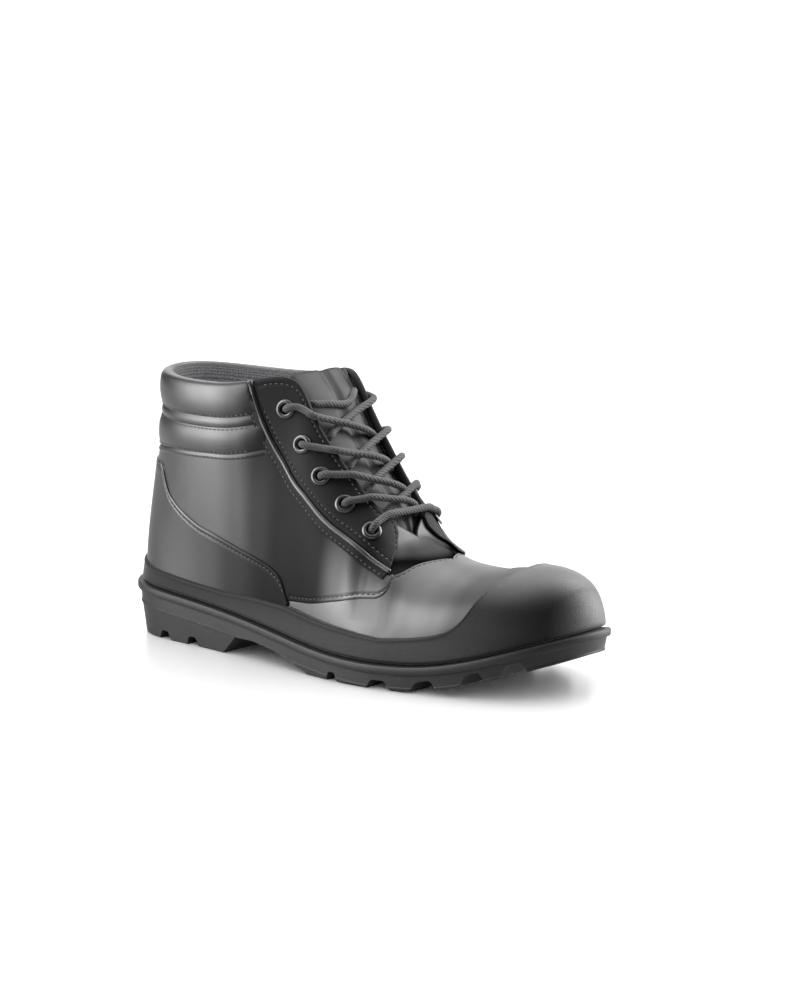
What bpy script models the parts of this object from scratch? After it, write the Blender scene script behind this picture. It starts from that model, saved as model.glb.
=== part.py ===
# Ankle safety boot for the right foot: moulded sole, leather upper, padded collar, laced throat.
# Sizes are in millimetres until placed; x runs from heel to toe, y to the medial side, z up.
import bmesh
import bpy
import numpy as np

MM = 0.001
FOOT_LENGTH = 293.5     # upper, heel back to toe tip
BALL_WIDTH = 97.0       # upper across the ball
COLLAR_HEIGHT = 152.5   # floor to collar edge at the heel
WALL = 2.2              # leather with its lining
GAP = 0.45              # clearance between neighbouring pieces
SEAT = 2.3              # piping centre to the panels beside it
RAND_GAP = 0.65         # behind the band, where the toe is most curved
EDGE = 0.4              # half the seam between neighbouring panels
THIN_EDGE = 0.6         # thickness of a panel's edge as a share of its middle
SMOOTH_ANGLE = 0.6      # radians; sharper folds stay crisp
WELD = 0.02             # corners closer than this are one
FOOT_GAP = 0.7          # dark groove between the sole and the band above it

# sole
LIP_OUT = 7.5           # lip beyond the foot of the upper
LIP_HEIGHT = 4.5
LIP_EASE = 0.7          # eased corners of the lip
WALL_OUT = 6.0          # side of the outsole under the lip
LUG_DEPTH = 5.0
GROOVE_RUNOUT = 2.0     # cut below the tread
MOUTH_SPREAD = 0.65     # half widths of a groove below the tread and at its roof, as shares of its mouth
ROOF_SPREAD = 0.275
SPINE_HALF = 9.0        # solid rib along the middle of the tread
RAND_SQUARE = 2.5       # foot of the band before it thins
INSOLE_INSET = 3.2
INSOLE_THICK = 4.0

# panels laid on the upper
COUNTER_THICK = 1.9
QUARTER_THICK = 1.0
EYESTAY_THICK = 1.5
COLLAR_THICK = 0.9
ROLL_BULGE = 2.6
ROLL_TURN = 0.15        # how far the upper roll has turned over at the collar edge
LEAST = 2.0             # least height of a panel
SEAM_DROP = 19.0        # collar edge down to the seam between the two rolls
PIPING_RADIUS = 1.5
PIPING_SIDES = 7
TONGUE_THICK = 4.5
TONGUE_GAP = 1.2        # loose under the lining
TONGUE_ARCH = 0.17       # crown of the tongue as a share of half the throat
TONGUE_ABOVE = 7.0      # tongue above the throat corner

# lacing
EYELET_OUTER = 5.4
EYELET_HOLE = 2.9
EYELET_HEIGHT = 1.3
EYELET_SLOPE = 0.7      # how much the ring narrows towards its top
EYELET_SIDES = 8
PUNCH_IN = 9.0          # reach of the holes either side of the eyelet's seat
PUNCH_OUT = 4.0
LACE_RADIUS = 2.0
LACE_START = 6.6        # eyelet centre to the end of the strand that leaves it
LACE_SIDES = 6

# Sections of the last, heel seam to toe tip. Shares are percent: at, top_at of the length,
# lateral, medial, top_gap of the ball width, top_height of the collar height. The handles of
# each section curve, swell, rise, lean, drop, are in mm.
SECTION_COLUMNS = ("name", "at", "lateral", "medial", "top_at", "top_gap", "top_height",
                   "swell", "rise", "lean", "drop")
SECTIONS = (
    ("heel seam", 0.00, 0.00, 0.00, 5.96, 0.00, 100.00, 0.8, 38.0, 0.5, -40.0),
    ("heel turn", 4.26, 24.23, 23.20, 7.84, 20.10, 99.34, 0.6, 38.0, 0.0, -40.0),
    ("heel side", 13.80, 30.93, 29.90, 14.82, 34.02, 98.03, 1.8, 38.0, 2.5, -40.0),
    ("rear quarter", 24.70, 33.30, 30.93, 24.87, 38.14, 97.51, 2.0, 36.0, 3.0, -40.0),
    ("ankle", 34.24, 37.11, 31.96, 33.56, 35.57, 99.02, 2.0, 34.0, 3.5, -40.0),
    ("throat top", 43.10, 41.03, 35.05, 42.08, 25.26, 100.00, 3.0, 34.0, 6.0, -36.0),
    ("throat high", 49.91, 44.64, 39.18, 46.51, 23.71, 87.87, 3.0, 34.0, 9.0, -28.0),
    ("throat mid", 56.05, 47.94, 42.78, 51.96, 21.65, 73.44, 3.0, 33.0, 12.0, -20.0),
    ("throat low", 61.16, 49.79, 45.67, 57.75, 18.56, 60.33, 2.5, 32.0, 14.5, -11.0),
    ("throat foot", 64.57, 50.21, 47.22, 61.50, 13.40, 53.11, 2.2, 31.0, 18.0, -5.0),
    ("throat end", 67.63, 50.10, 48.25, 63.88, 0.00, 47.05, 2.0, 30.0, 24.0, -1.0),
    ("ball", 72.74, 48.45, 48.97, 70.36, 0.00, 40.71, 2.0, 28.0, 25.3, 0.0),
    ("cap edge", 79.56, 45.36, 48.45, 77.51, 0.00, 38.58, 2.0, 28.0, 25.7, 0.0),
    ("toe", 87.73, 39.69, 43.10, 81.60, 0.00, 38.44, 2.2, 27.0, 25.0, 0.6),
    ("toe turn", 95.23, 28.87, 28.90, 83.82, 0.00, 39.30, 2.6, 26.0, 26.0, 2.0),
    ("toe corner", 99.05, 14.43, 14.00, 85.01, 0.00, 39.93, 3.0, 26.0, 28.0, 3.6),
    ("toe tip", 100.00, 0.00, 0.00, 85.52, 0.00, 40.16, 2.8, 25.0, 29.0, 4.2),
)
RIDGE = [row[0] for row in SECTIONS].index("throat end")

# (percent of length, mm): top of the sole, and the middle line that swings towards the big toe
FEATHER = ((-2.2, 31.5), (19.3, 26.0), (36.3, 21.5), (53.3, 15.4), (67.0, 13.2), (80.6, 16.4),
           (92.5, 26.3), (103.7, 38.5))
MIDDLE = ((-2.2, 0.0), (32.9, 0.0), (60.1, 1.5), (80.6, 5.0), (103.7, 8.0))
# (percent of length, mm above the floor): bottom of the sole before the arch and grooves are cut
TREAD = ((-2.5, 2.5), (2.0, 0.0), (73.9, 0.0), (83.0, 5.0), (92.0, 13.5), (102.5, 25.0))
# (section number, mm): how far the bottom edge stands out from the foot of the upper
BOTTOM_OUT = ((0, 1.5), (1, 3.0), (2, 4.5), (4, 5.0), (13, 5.0), (15, 4.0), (16, 3.5))
# (percent of length, mm): side view of the cut under the arch
ARCH = ((27.6, -1.0), (27.8, 0.0), (31.8, 11.0), (37.0, 11.0), (43.0, 8.6), (48.0, 4.8), (51.6, 1.2),
        (52.2, -1.0))
# (percent of length, mm): middle and mouth of each groove across the tread
GROOVES = ((11.2, 9.0), (19.1, 9.0), (58.8, 7.0), (69.3, 13.0), (78.2, 13.0), (87.2, 11.0), (93.9, 10.0))

# Edges of the panels: (section number, mm along the section up from the sole)
RAND_TOP = ((0, 14.5), (0.8, 13.0), (1.3, 10.8), (2.6, 10.2), (3.4, 10.8), (4.35, 13.8), (5.4, 16.0),
            (7.7, 14.8), (10.2, 13.0), (11.1, 14.0), (11.9, 15.2), (12.27, 16.6), (12.56, 20.0),
            (12.74, 25.0), (12.87, 30.0), (13.2, 35.5), (13.6, 40.2), (14.3, 45.6), (15.0, 48.8),
            (16.0, 50.0))
# (mm up from the sole, mm): thickness of the band
RAND_THICK = ((0.0, 3.0), (2.5, 4.0), (12.0, 2.8), (30.0, 2.2))
COUNTER_TOP = ((0, 73.0), (1.6, 72.0), (1.8, 58.0), (2.2, 50.0), (2.65, 44.0), (3.2, 41.0), (3.8, 38.0),
               (4.7, 34.0), (5.1, 30.0), (5.3, 24.0), (5.4, 16.5))
QUARTER_FOOT = ((5.4, 19.5), (6.4, 22.0), (7.4, 26.5), (8.3, 29.3), (9.3, 31.6), (9.8, 35.0))
PIPING_LINE = ((4.1, 129.5), (4.15, 125.0), (4.3, 114.5), (4.7, 97.5), (5.1, 88.3), (5.4, 83.6),
               (6.1, 77.6), (6.9, 68.6), (7.4, 64.2), (8.0, 60.0), (9.0, 53.5), (9.8, 48.6))
# (section number, mm down from the collar or throat edge)
COLLAR_DEPTH = ((0, 46.0), (1, 44.0), (2, 40.5), (3, 39.5), (5, 40.0))
EYESTAY_TOP = ((0, 0.0), (9.1, 0.0), (9.5, 7.5), (9.8, 18.0))
EYELETS = ((4.88, 16.0), (5.70, 21.8), (6.60, 18.5), (7.47, 15.0), (8.62, 13.5))
# section numbers where the lace from each eyelet passes the throat edge and the middle of the tongue
LACE_ROWS = ((5.95, 6.30), (6.70, 7.00), (7.30, 7.65), (7.98, 8.33), (8.75, 8.80))

# A strand over the tongue: (share of the way across, mm above the last)
STRAND = ((0.0, 5.1), (0.25, 5.0), (0.5, 4.8), (0.68, 3.6), (0.82, 1.9))
BAR = ((0.0, 4.6), (0.25, 4.9), (0.5, 4.9))

# Section numbers where the panels begin and end
COUNTER_FRONT = 5.4
COLLAR_FRONT = 4.6
PIPING_BACK = 4.15
EYESTAY_BACK = 4.35
PIPING_FRONT = 9.8
SAME = 0.01             # section numbers closer than this are one

# Rows of faces up the pieces, as shares of their height
UPPER_ROWS = 12
PANEL_ROWS = (0.0, 0.33, 0.67, 1.0)
ROLL_ROWS = (0.0, 0.2, 0.8, 1.0)
RAND_ROWS = (0.0, 0.2, 0.38, 0.55, 0.7, 0.85, 1.0)

# Tongue: section numbers of its rows, and mm down from the throat edge or the vamp ridge to its side points
TONGUE_ROWS = (11.4, 10.7, 10.0, 9.1, 8.3, 7.5, 6.7, 6.0, 5.4, 5.1)
TONGUE_BESIDE = (16.0, 7.0, 0.5)
TONGUE_UNDER = (18.0, 11.0, 5.0)

# Section numbers where the solids have a column of faces, one side of the boot
STATIONS = (0, 0.5, 1.0, 1.6, 1.8, 2.2, 2.7, 3.3, 4.0, 4.15, 4.35, 4.6, 4.85, 5.1, 5.4, 6.0, 6.7, 7.5, 8.3,
            9.1, 9.5, 9.8, 10.0, 10.7, 11.4, 12.1, 12.4, 12.6, 12.8, 13.0, 13.5, 13.9, 14.5, 15.2, 16.0)


def spline(knots, values, at, closed=False):
    # smooth cubic through the rows of values
    count = len(knots)
    step = np.diff(knots)
    last = count - 1
    left = np.zeros((count, count))
    right = np.zeros((count,) + values.shape[1:])
    left[0, 0] = left[last, last] = 1.0
    for i in range(0 if closed else 1, last):
        before = step[i - 1]
        prior = (i - 1) % last if closed else i - 1
        left[i] = 0.0
        left[i, prior] = before
        left[i, i] = 2.0 * (before + step[i])
        left[i, i + 1] = step[i]
        slope_in = (values[i] - values[prior]) / before
        right[i] = 6.0 * ((values[i + 1] - values[i]) / step[i] - slope_in)
    if closed:
        left[last, 0] = -1.0
    bend = np.linalg.solve(left, right)
    k = np.clip(np.searchsorted(knots, at) - 1, 0, last - 1)
    shape = np.shape(at) + (1,) * (values.ndim - 1)
    width = step[k].reshape(shape)
    a = (knots[k + 1] - at).reshape(shape)
    b = (at - knots[k]).reshape(shape)
    cubic = (bend[k] * a ** 3 + bend[k + 1] * b ** 3) / (6.0 * width)
    line_a = (values[k] / width - bend[k] * width / 6.0) * a
    line_b = (values[k + 1] / width - bend[k + 1] * width / 6.0) * b
    return cubic + line_a + line_b


def along_foot(table, x):
    # smooth curve through (percent of length, mm) rows, read at x in mm
    rows = np.array(table)
    knots = rows[:, 0] * FOOT_LENGTH / 100.0
    return spline(knots, rows[:, 1], np.clip(x, knots[0], knots[-1]))


def straight(table, at):
    rows = np.array(table)
    return np.interp(at, rows[:, 0], rows[:, 1])


def section_loop():
    # one row for each section: lateral side from heel to toe, then medial side back to the heel
    rows = [dict(zip(SECTION_COLUMNS, row)) for row in SECTIONS]
    loop = []
    for side, half, order in ((-1, "lateral", rows), (1, "medial", rows[-2::-1])):
        for row in order:
            x = row["at"] * FOOT_LENGTH / 100.0
            top_x = row["top_at"] * FOOT_LENGTH / 100.0
            y = along_foot(MIDDLE, x) + side * row[half] * BALL_WIDTH / 100.0
            top_y = along_foot(MIDDLE, top_x) + side * row["top_gap"] * BALL_WIDTH / 100.0
            top_z = row["top_height"] * COLLAR_HEIGHT / 100.0
            handles = [row[key] for key in ("swell", "rise", "lean", "drop")]
            loop.append([x, y, along_foot(FEATHER, x), top_x, top_y, top_z] + handles)
    return np.array(loop)


LOOP = section_loop()
HALF_STEPS = np.sqrt(np.linalg.norm(np.diff(0.6 * LOOP[:, 0:3] + 0.4 * LOOP[:, 3:6], axis=0), axis=1))
KNOTS = np.concatenate([[0.0], np.cumsum(0.5 * (HALF_STEPS + HALF_STEPS[::-1]))])
TURN = len(KNOTS) - 1
NUDGE = 0.002 * KNOTS[-1]


def knot(station):
    return np.interp(np.mod(station, TURN), np.arange(TURN + 1), KNOTS)


def feet(t):
    # foot of the upper and its outward direction in plan
    t = np.mod(t, KNOTS[-1])
    plan = [spline(KNOTS, LOOP[:, 0:2], np.mod(t + d, KNOTS[-1]), True) for d in (-NUDGE, NUDGE)]
    run = plan[1] - plan[0]
    run = run / np.linalg.norm(run, axis=-1, keepdims=True)
    return np.stack([run[..., 1], -run[..., 0], np.zeros(np.shape(t))], axis=-1)


def skin(t, v):
    # point of the last: t around the foot, v from the sole (0) to the top line (1)
    t, v = np.broadcast_arrays(np.mod(t, KNOTS[-1]), v)
    row = spline(KNOTS, LOOP, t, True)
    out = feet(t)
    foot = row[..., 0:3]
    top = row[..., 3:6].copy()
    sewn = (t >= KNOTS[RIDGE]) & (t <= KNOTS[TURN - RIDGE])
    top[..., 1] = np.where(sewn, along_foot(MIDDLE, top[..., 0]), top[..., 1])
    up = np.array([0.0, 0.0, 1.0])
    first = foot + out * row[..., 6:7] + up * row[..., 7:8]
    second = top + out * row[..., 8:9] + up * row[..., 9:10]
    v = v[..., None]
    w = 1.0 - v
    return w ** 3 * foot + 3.0 * w * w * v * first + 3.0 * w * v * v * second + v ** 3 * top


def facing(t, v):
    # outward direction of the last; the two sides share one direction along the vamp ridge
    v = np.clip(v, 0.01, 0.98)
    across = skin(t + NUDGE, v) - skin(t - NUDGE, v)
    upward = skin(t, v + 0.01) - skin(t, v - 0.01)
    normal = np.cross(across, upward)
    return normal / np.linalg.norm(normal, axis=-1, keepdims=True)


def lengths(t):
    # length along each section curve at even steps of v
    steps = np.linspace(0.0, 1.0, 81)
    path = skin(t[None, :], steps[:, None])
    run = np.linalg.norm(np.diff(path, axis=0), axis=2)
    return steps, np.concatenate([np.zeros((1, len(t))), np.cumsum(run, axis=0)])


def tall(stations):
    return lengths(knot(np.asarray(stations, float)))[1][-1]


def on_skin(stations, heights, offset):
    # points at heights (rows, columns) in mm along the sections, moved out from the last by offset
    t = knot(np.asarray(stations, float))
    steps, run = lengths(t)
    v = np.stack([np.interp(heights[:, c], run[:, c], steps) for c in range(len(t))], axis=1)
    t = np.broadcast_to(t, v.shape)
    normal = facing(t, v)
    sewn = (v > 0.995) & (t >= KNOTS[RIDGE] - NUDGE) & (t <= KNOTS[TURN - RIDGE] + NUDGE)
    other = facing(KNOTS[-1] - t, v)
    both = normal + other
    both = both / np.linalg.norm(both, axis=-1, keepdims=True)
    normal = np.where(sewn[..., None], both, normal)
    return skin(t, v) + normal * np.broadcast_to(offset, v.shape)[..., None]


def one_side(stations):
    # section number counted from the heel on either side
    stations = np.asarray(stations, float)
    return np.minimum(stations, TURN - stations)


def outline(out):
    # closed plan loop at a distance out from the foot of the upper
    t = knot(AROUND)
    foot = skin(t, np.zeros(len(t)))
    return foot + feet(t) * np.broadcast_to(out, len(t))[:, None]


AROUND = np.array(STATIONS + tuple(TURN - r for r in STATIONS[-2:0:-1]))
LIP = outline(LIP_OUT)
ORIGIN = np.append(0.5 * (LIP[:, :2].min(axis=0) + LIP[:, :2].max(axis=0)), 0.0)


def place(points):
    return (np.asarray(points) - ORIGIN) * MM


def material(name, colour, rough):
    surface = bpy.data.materials.new(name)
    surface.use_nodes = True
    shader = surface.node_tree.nodes["Principled BSDF"]
    shader.inputs["Base Color"].default_value = (*colour, 1.0)
    shader.inputs["Roughness"].default_value = rough
    return surface


def finish(name, mesh, surface=None):
    bmesh.ops.remove_doubles(mesh, verts=mesh.verts, dist=WELD * MM)
    bmesh.ops.recalc_face_normals(mesh, faces=mesh.faces)
    data = bpy.data.meshes.new(name)
    mesh.to_mesh(data)
    mesh.free()
    data.shade_smooth()
    data.set_sharp_from_angle(angle=SMOOTH_ANGLE)
    piece = bpy.data.objects.new(name, data)
    bpy.context.collection.objects.link(piece)
    if surface:
        data.materials.append(surface)
    else:
        piece.hide_render = True
        piece.display_type = "WIRE"
    return piece


def carve(piece, cutter, operation="DIFFERENCE"):
    boolean = piece.modifiers.new(cutter.name, "BOOLEAN")
    boolean.operation = operation
    boolean.solver = "EXACT"
    boolean.object = cutter


def loft(mesh, rings, caps=True):
    # skin over a stack of closed loops; caps close the first and last across the loop
    layers = [[mesh.verts.new(p) for p in place(ring)] for ring in rings]
    count = len(layers[0])
    for low, high in zip(layers, layers[1:]):
        for i in range(count):
            j = (i + 1) % count
            mesh.faces.new((low[i], low[j], high[j], high[i]))
    for layer in (layers[0], layers[-1]) if caps else ():
        for i in range(count // 2):
            corners = [layer[i], layer[i + 1], layer[count - i - 1], layer[-i]]
            mesh.faces.new(list(dict.fromkeys(corners)))


def wall_solid(mesh, inside, outside, closed=False, sewn=()):
    # wall between two grids of points (rows, columns); sewn spans have no rim along the top
    layers = [[[mesh.verts.new(p) for p in row] for row in place(grid)] for grid in (outside, inside)]
    rows, columns = inside.shape[:2]
    for c in range(columns if closed else columns - 1):
        d = (c + 1) % columns
        for layer in layers:
            for r in range(rows - 1):
                mesh.faces.new((layer[r][c], layer[r][d], layer[r + 1][d], layer[r + 1][c]))
        for r in (0, rows - 1):
            if r == 0 or c not in sewn:
                mesh.faces.new((layers[0][r][c], layers[0][r][d], layers[1][r][d], layers[1][r][c]))
    for c in () if closed else (0, columns - 1):
        for r in range(rows - 1):
            mesh.faces.new((layers[0][r][c], layers[0][r + 1][c], layers[1][r + 1][c], layers[1][r][c]))
    bmesh.ops.triangulate(mesh, faces=mesh.faces[:], quad_method="FIXED")


def panel(name, stations, heights, thick, surface):
    # panel that follows the last a gap above the upper; thinner along its edges
    edge = np.ones(heights.shape)
    edge[[0, -1], :] = THIN_EDGE
    edge[:, [0, -1]] = THIN_EDGE
    mesh = bmesh.new()
    inside = on_skin(stations, heights, GAP)
    wall_solid(mesh, inside, on_skin(stations, heights, GAP + thick * edge))
    return finish(name, mesh, surface)


def between(low, high, shares):
    return low + (high - low) * np.asarray(shares, float)[:, None]


def span(first, last, side):
    # stations of one side from first to last; side 1 is lateral, -1 medial
    picked = np.array([r for r in STATIONS if first <= r <= last])
    return picked if side > 0 else (TURN - picked)[::-1]


def tube(mesh, path, radius, sides):
    # round cord along a path with closed ends
    path = np.asarray(path)
    run = np.gradient(path, axis=0)
    run = run / np.linalg.norm(run, axis=1, keepdims=True)
    across = np.cross(run, np.array([0.0, 0.0, 1.0]))
    across = across / np.linalg.norm(across, axis=1, keepdims=True)
    above = np.cross(across, run)
    turn = np.linspace(0.0, 2.0 * np.pi, sides, endpoint=False)
    ring = np.cos(turn)[:, None, None] * across + np.sin(turn)[:, None, None] * above
    rings = []
    for i, centre in enumerate(path):
        rings.append([mesh.verts.new(p) for p in place(centre + radius * ring[:, i])])
    for low, high in zip(rings, rings[1:]):
        for i in range(sides):
            j = (i + 1) % sides
            mesh.faces.new((low[i], low[j], high[j], high[i]))
    mesh.faces.new(rings[0])
    mesh.faces.new(rings[-1])


def prism(mesh, profile, first, last):
    # side-view polygon (x, z) carried across the sole from y first to y last
    ends = [[mesh.verts.new(place((x, y, z))) for x, z in profile] for y in (first, last)]
    count = len(profile)
    for i in range(count):
        j = (i + 1) % count
        mesh.faces.new((ends[0][i], ends[0][j], ends[1][j], ends[1][i]))
    mesh.faces.new(ends[0])
    mesh.faces.new(ends[1])


def build_outsole(surface):
    def level(ring, height):
        return np.column_stack([ring[:, :2], height])

    side = one_side(AROUND)
    bottom = outline(straight(BOTTOM_OUT, side))
    under_lip = outline(WALL_OUT)
    seat = outline(0.0)
    foot = skin(knot(AROUND), np.zeros(len(AROUND)))[:, 2]
    floor = np.maximum(straight(TREAD, bottom[:, 0] * 100.0 / FOOT_LENGTH), 0.0)
    mesh = bmesh.new()
    lip_low = foot - LIP_HEIGHT
    loft(mesh, [level(bottom, floor), level(under_lip, lip_low), level(LIP, lip_low + LIP_EASE),
                level(LIP, foot - LIP_EASE), level(outline(LIP_OUT - LIP_EASE), foot), level(seat, foot)])
    sole = finish("outsole", mesh, surface)
    cuts = bmesh.new()
    prism(cuts, [(x * FOOT_LENGTH / 100.0, z) for x, z in ARCH], -BALL_WIDTH, BALL_WIDTH)
    for share, mouth in GROOVES:
        x = share * FOOT_LENGTH / 100.0
        low = straight(TREAD, share)
        lean = (straight(TREAD, share + 1.0) - low) * 100.0 / FOOT_LENGTH
        corners = ((-MOUTH_SPREAD, -GROOVE_RUNOUT), (MOUTH_SPREAD, -GROOVE_RUNOUT),
                   (ROOF_SPREAD, LUG_DEPTH), (-ROOF_SPREAD, LUG_DEPTH))
        profile = [(x + d * mouth, low + z + lean * d * mouth) for d, z in corners]
        middle = along_foot(MIDDLE, x)
        for side in (-1, 1):
            prism(cuts, profile, middle + side * SPINE_HALF, side * BALL_WIDTH)
    carve(sole, finish("tread_cutter", cuts))


def build_upper(surface):
    high = tall(AROUND)
    heights = between(np.full(len(AROUND), GAP), high, np.linspace(0.0, 1.0, UPPER_ROWS))
    side = one_side(AROUND)
    nexts = np.roll(side, -1)
    sewn = [c for c in range(len(AROUND)) if min(side[c], nexts[c]) >= RIDGE]
    mesh = bmesh.new()
    wall_solid(mesh, on_skin(AROUND, heights, -WALL), on_skin(AROUND, heights, 0.0), True, sewn)
    return finish("upper", mesh, surface)


def build_rand(surface):
    high = straight(RAND_TOP, one_side(AROUND))
    level = np.ones(len(AROUND))
    heights = np.vstack([FOOT_GAP * level, between(RAND_SQUARE * level, high, RAND_ROWS)])
    thick = straight(RAND_THICK, heights)
    thick[-1] *= THIN_EDGE
    mesh = bmesh.new()
    wall_solid(mesh, on_skin(AROUND, heights, RAND_GAP), on_skin(AROUND, heights, RAND_GAP + thick), True)
    return finish("rand", mesh, surface)


def build_insole(surface):
    plan = outline(-INSOLE_INSET)
    foot = skin(knot(AROUND), np.zeros(len(AROUND)))[:, 2]
    mesh = bmesh.new()
    loft(mesh, [np.column_stack([plan[:, :2], foot + z]) for z in (GAP, GAP + INSOLE_THICK)])
    finish("insole", mesh, surface)


def beside_piping(stations):
    # height along each section that keeps a panel clear of the piping, more where the piping is steep
    near = np.clip(one_side(np.mod(stations, TURN)), PIPING_LINE[0][0], PIPING_LINE[-1][0])
    ends = np.stack([near - 0.08, near + 0.08])
    line = straight(PIPING_LINE, ends)
    path = np.stack([on_skin(ends[i], line[i:i + 1], GAP)[0] for i in (0, 1)])
    run = np.linalg.norm(path[1] - path[0], axis=1)
    rise = np.abs(line[1] - line[0])
    return SEAT * run / np.sqrt(np.maximum(run ** 2 - rise ** 2, 0.02 * run ** 2))


def build_counter(surface):
    lateral = span(0, COUNTER_FRONT, 1)
    stations = np.concatenate([TURN - lateral[:0:-1], TURN + lateral])
    side = one_side(np.mod(stations, TURN))
    low = straight(RAND_TOP, side) + EDGE
    high = np.maximum(straight(COUNTER_TOP, side), low + LEAST)
    heights = between(low, high, PANEL_ROWS)
    panel("counter", stations, heights, COUNTER_THICK, surface)


def build_quarter(name, side, surface):
    stations = span(0, PIPING_FRONT, side)
    near = one_side(stations)
    behind = near < COUNTER_FRONT - SAME
    low = np.where(behind, straight(COUNTER_TOP, near), straight(QUARTER_FOOT, near)) + 2.0 * EDGE
    under_collar = tall(stations) - straight(COLLAR_DEPTH, near)
    under_piping = straight(PIPING_LINE, near) - beside_piping(stations)
    high = np.where(near < COLLAR_FRONT + SAME, under_collar, under_piping) - EDGE
    panel(name, stations, between(low, high, PANEL_ROWS), QUARTER_THICK, surface)


def build_collar(surface):
    lateral = span(0, COLLAR_FRONT, 1)
    stations = np.concatenate([TURN - lateral[:0:-1], TURN + lateral])
    side = one_side(np.mod(stations, TURN))
    top = tall(stations)
    low = top - straight(COLLAR_DEPTH, side)
    seam = top - SEAM_DROP
    high = np.minimum(top, straight(PIPING_LINE, side) - beside_piping(stations))
    middle = np.minimum(seam, high - LEAST)
    heights = np.vstack([between(low, middle, ROLL_ROWS[:-1]), between(middle, high, ROLL_ROWS)])
    drop = top - heights
    lower = np.clip((drop - SEAM_DROP) / (top - low - SEAM_DROP), 0.0, 1.0)
    upper = np.clip(drop / SEAM_DROP, 0.0, 1.0)
    turned = ROLL_TURN + (1.0 - ROLL_TURN) * upper
    bulge = np.sin(np.pi * np.where(drop > SEAM_DROP, lower, turned))
    mesh = bmesh.new()
    thick = COLLAR_THICK + ROLL_BULGE * np.sqrt(np.clip(bulge, 0.0, 1.0))
    thick[:, [0, -1]] = COLLAR_THICK
    wall_solid(mesh, on_skin(stations, heights, GAP), on_skin(stations, heights, GAP + thick))
    finish("collar", mesh, surface)


def build_eyestay(name, side, surface):
    stations = span(EYESTAY_BACK, PIPING_FRONT, side)
    near = one_side(stations)
    low = straight(PIPING_LINE, near) + beside_piping(stations)
    high = np.maximum(tall(stations) - straight(EYESTAY_TOP, near), low + LEAST)
    return panel(name, stations, between(low, high, PANEL_ROWS), EYESTAY_THICK, surface)


def build_piping(name, side, surface):
    stations = span(PIPING_BACK, PIPING_FRONT, side)
    line = straight(PIPING_LINE, one_side(stations))[None, :]
    mesh = bmesh.new()
    tube(mesh, on_skin(stations, line, GAP + PIPING_RADIUS)[0], PIPING_RADIUS, PIPING_SIDES)
    finish(name, mesh, surface)


def eyelet_frame(number, side, offset):
    # centre and outward direction of an eyelet on one facing
    near, drop = EYELETS[number]
    station = np.array([near if side > 0 else TURN - near])
    height = tall(station)[None, :] - drop
    base, above = (on_skin(station, height, d)[0, 0] for d in (offset, offset + 1.0))
    return base, above - base


def ring(mesh, base, axis, profile, sides):
    # turned ring about an axis; profile rows are (radius, height above base)
    toe = np.array([1.0, 0.0, 0.0])
    across = np.cross(axis, toe)
    across = across / np.linalg.norm(across)
    other = np.cross(axis, across)
    turn = np.linspace(0.0, 2.0 * np.pi, sides, endpoint=False)
    spokes = np.cos(turn)[:, None] * across + np.sin(turn)[:, None] * other
    loops = []
    for radius, height in profile:
        loops.append([mesh.verts.new(p) for p in place(base + radius * spokes + height * axis)])
    for low, high in zip(loops, loops[1:] + loops[:1]):
        for i in range(sides):
            j = (i + 1) % sides
            mesh.faces.new((low[i], low[j], high[j], high[i]))


def build_eyelets(pieces, surface):
    seat = GAP + EYESTAY_THICK + GAP
    profile = ((EYELET_HOLE, 0.0), (EYELET_OUTER, 0.0), (EYELET_OUTER - EYELET_SLOPE, EYELET_HEIGHT),
               (EYELET_HOLE + EYELET_SLOPE, EYELET_HEIGHT))
    holes = bmesh.new()
    for side, word in ((1, "lateral"), (-1, "medial")):
        for number in range(len(EYELETS)):
            base, axis = eyelet_frame(number, side, seat)
            mesh = bmesh.new()
            ring(mesh, base, axis, profile, EYELET_SIDES)
            finish("eyelet_%s_%d" % (word, number + 1), mesh, surface)
            tube(holes, [base - PUNCH_IN * axis, base + PUNCH_OUT * axis], EYELET_HOLE, EYELET_SIDES)
    cutter = finish("eyelet_cutter", holes)
    for piece in pieces:
        carve(piece, cutter)


def tongue_grid(offset):
    # rows from under the vamp to the top, seven points across; offset is measured from the last
    grid = []
    for row in TONGUE_ROWS:
        pair = np.array([row, TURN - row])
        top = tall(pair)
        sewn = row >= RIDGE
        drops = TONGUE_UNDER if sewn else TONGUE_BESIDE
        sides = on_skin(pair, np.stack([top - d for d in drops]), offset)
        edges = on_skin(pair, top[None, :], offset)[0]
        half = 0.5 * np.linalg.norm(edges[0] - edges[1])
        ahead = on_skin(pair, top[None, :], offset + 1.0)[0] - edges
        middle = edges.mean(axis=0) + TONGUE_ARCH * half * ahead.mean(axis=0)
        grid.append(np.vstack([sides[:, 0], middle, sides[::-1, 1]]))
    rise = grid[-1] - grid[-2]
    rise = rise / np.linalg.norm(rise, axis=1, keepdims=True)
    grid.append(grid[-1] + TONGUE_ABOVE * rise)
    return np.array(grid)


def build_tongue(surface):
    face = -WALL - TONGUE_GAP
    mesh = bmesh.new()
    wall_solid(mesh, tongue_grid(face - TONGUE_THICK), tongue_grid(face))
    finish("tongue", mesh, surface)


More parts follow.
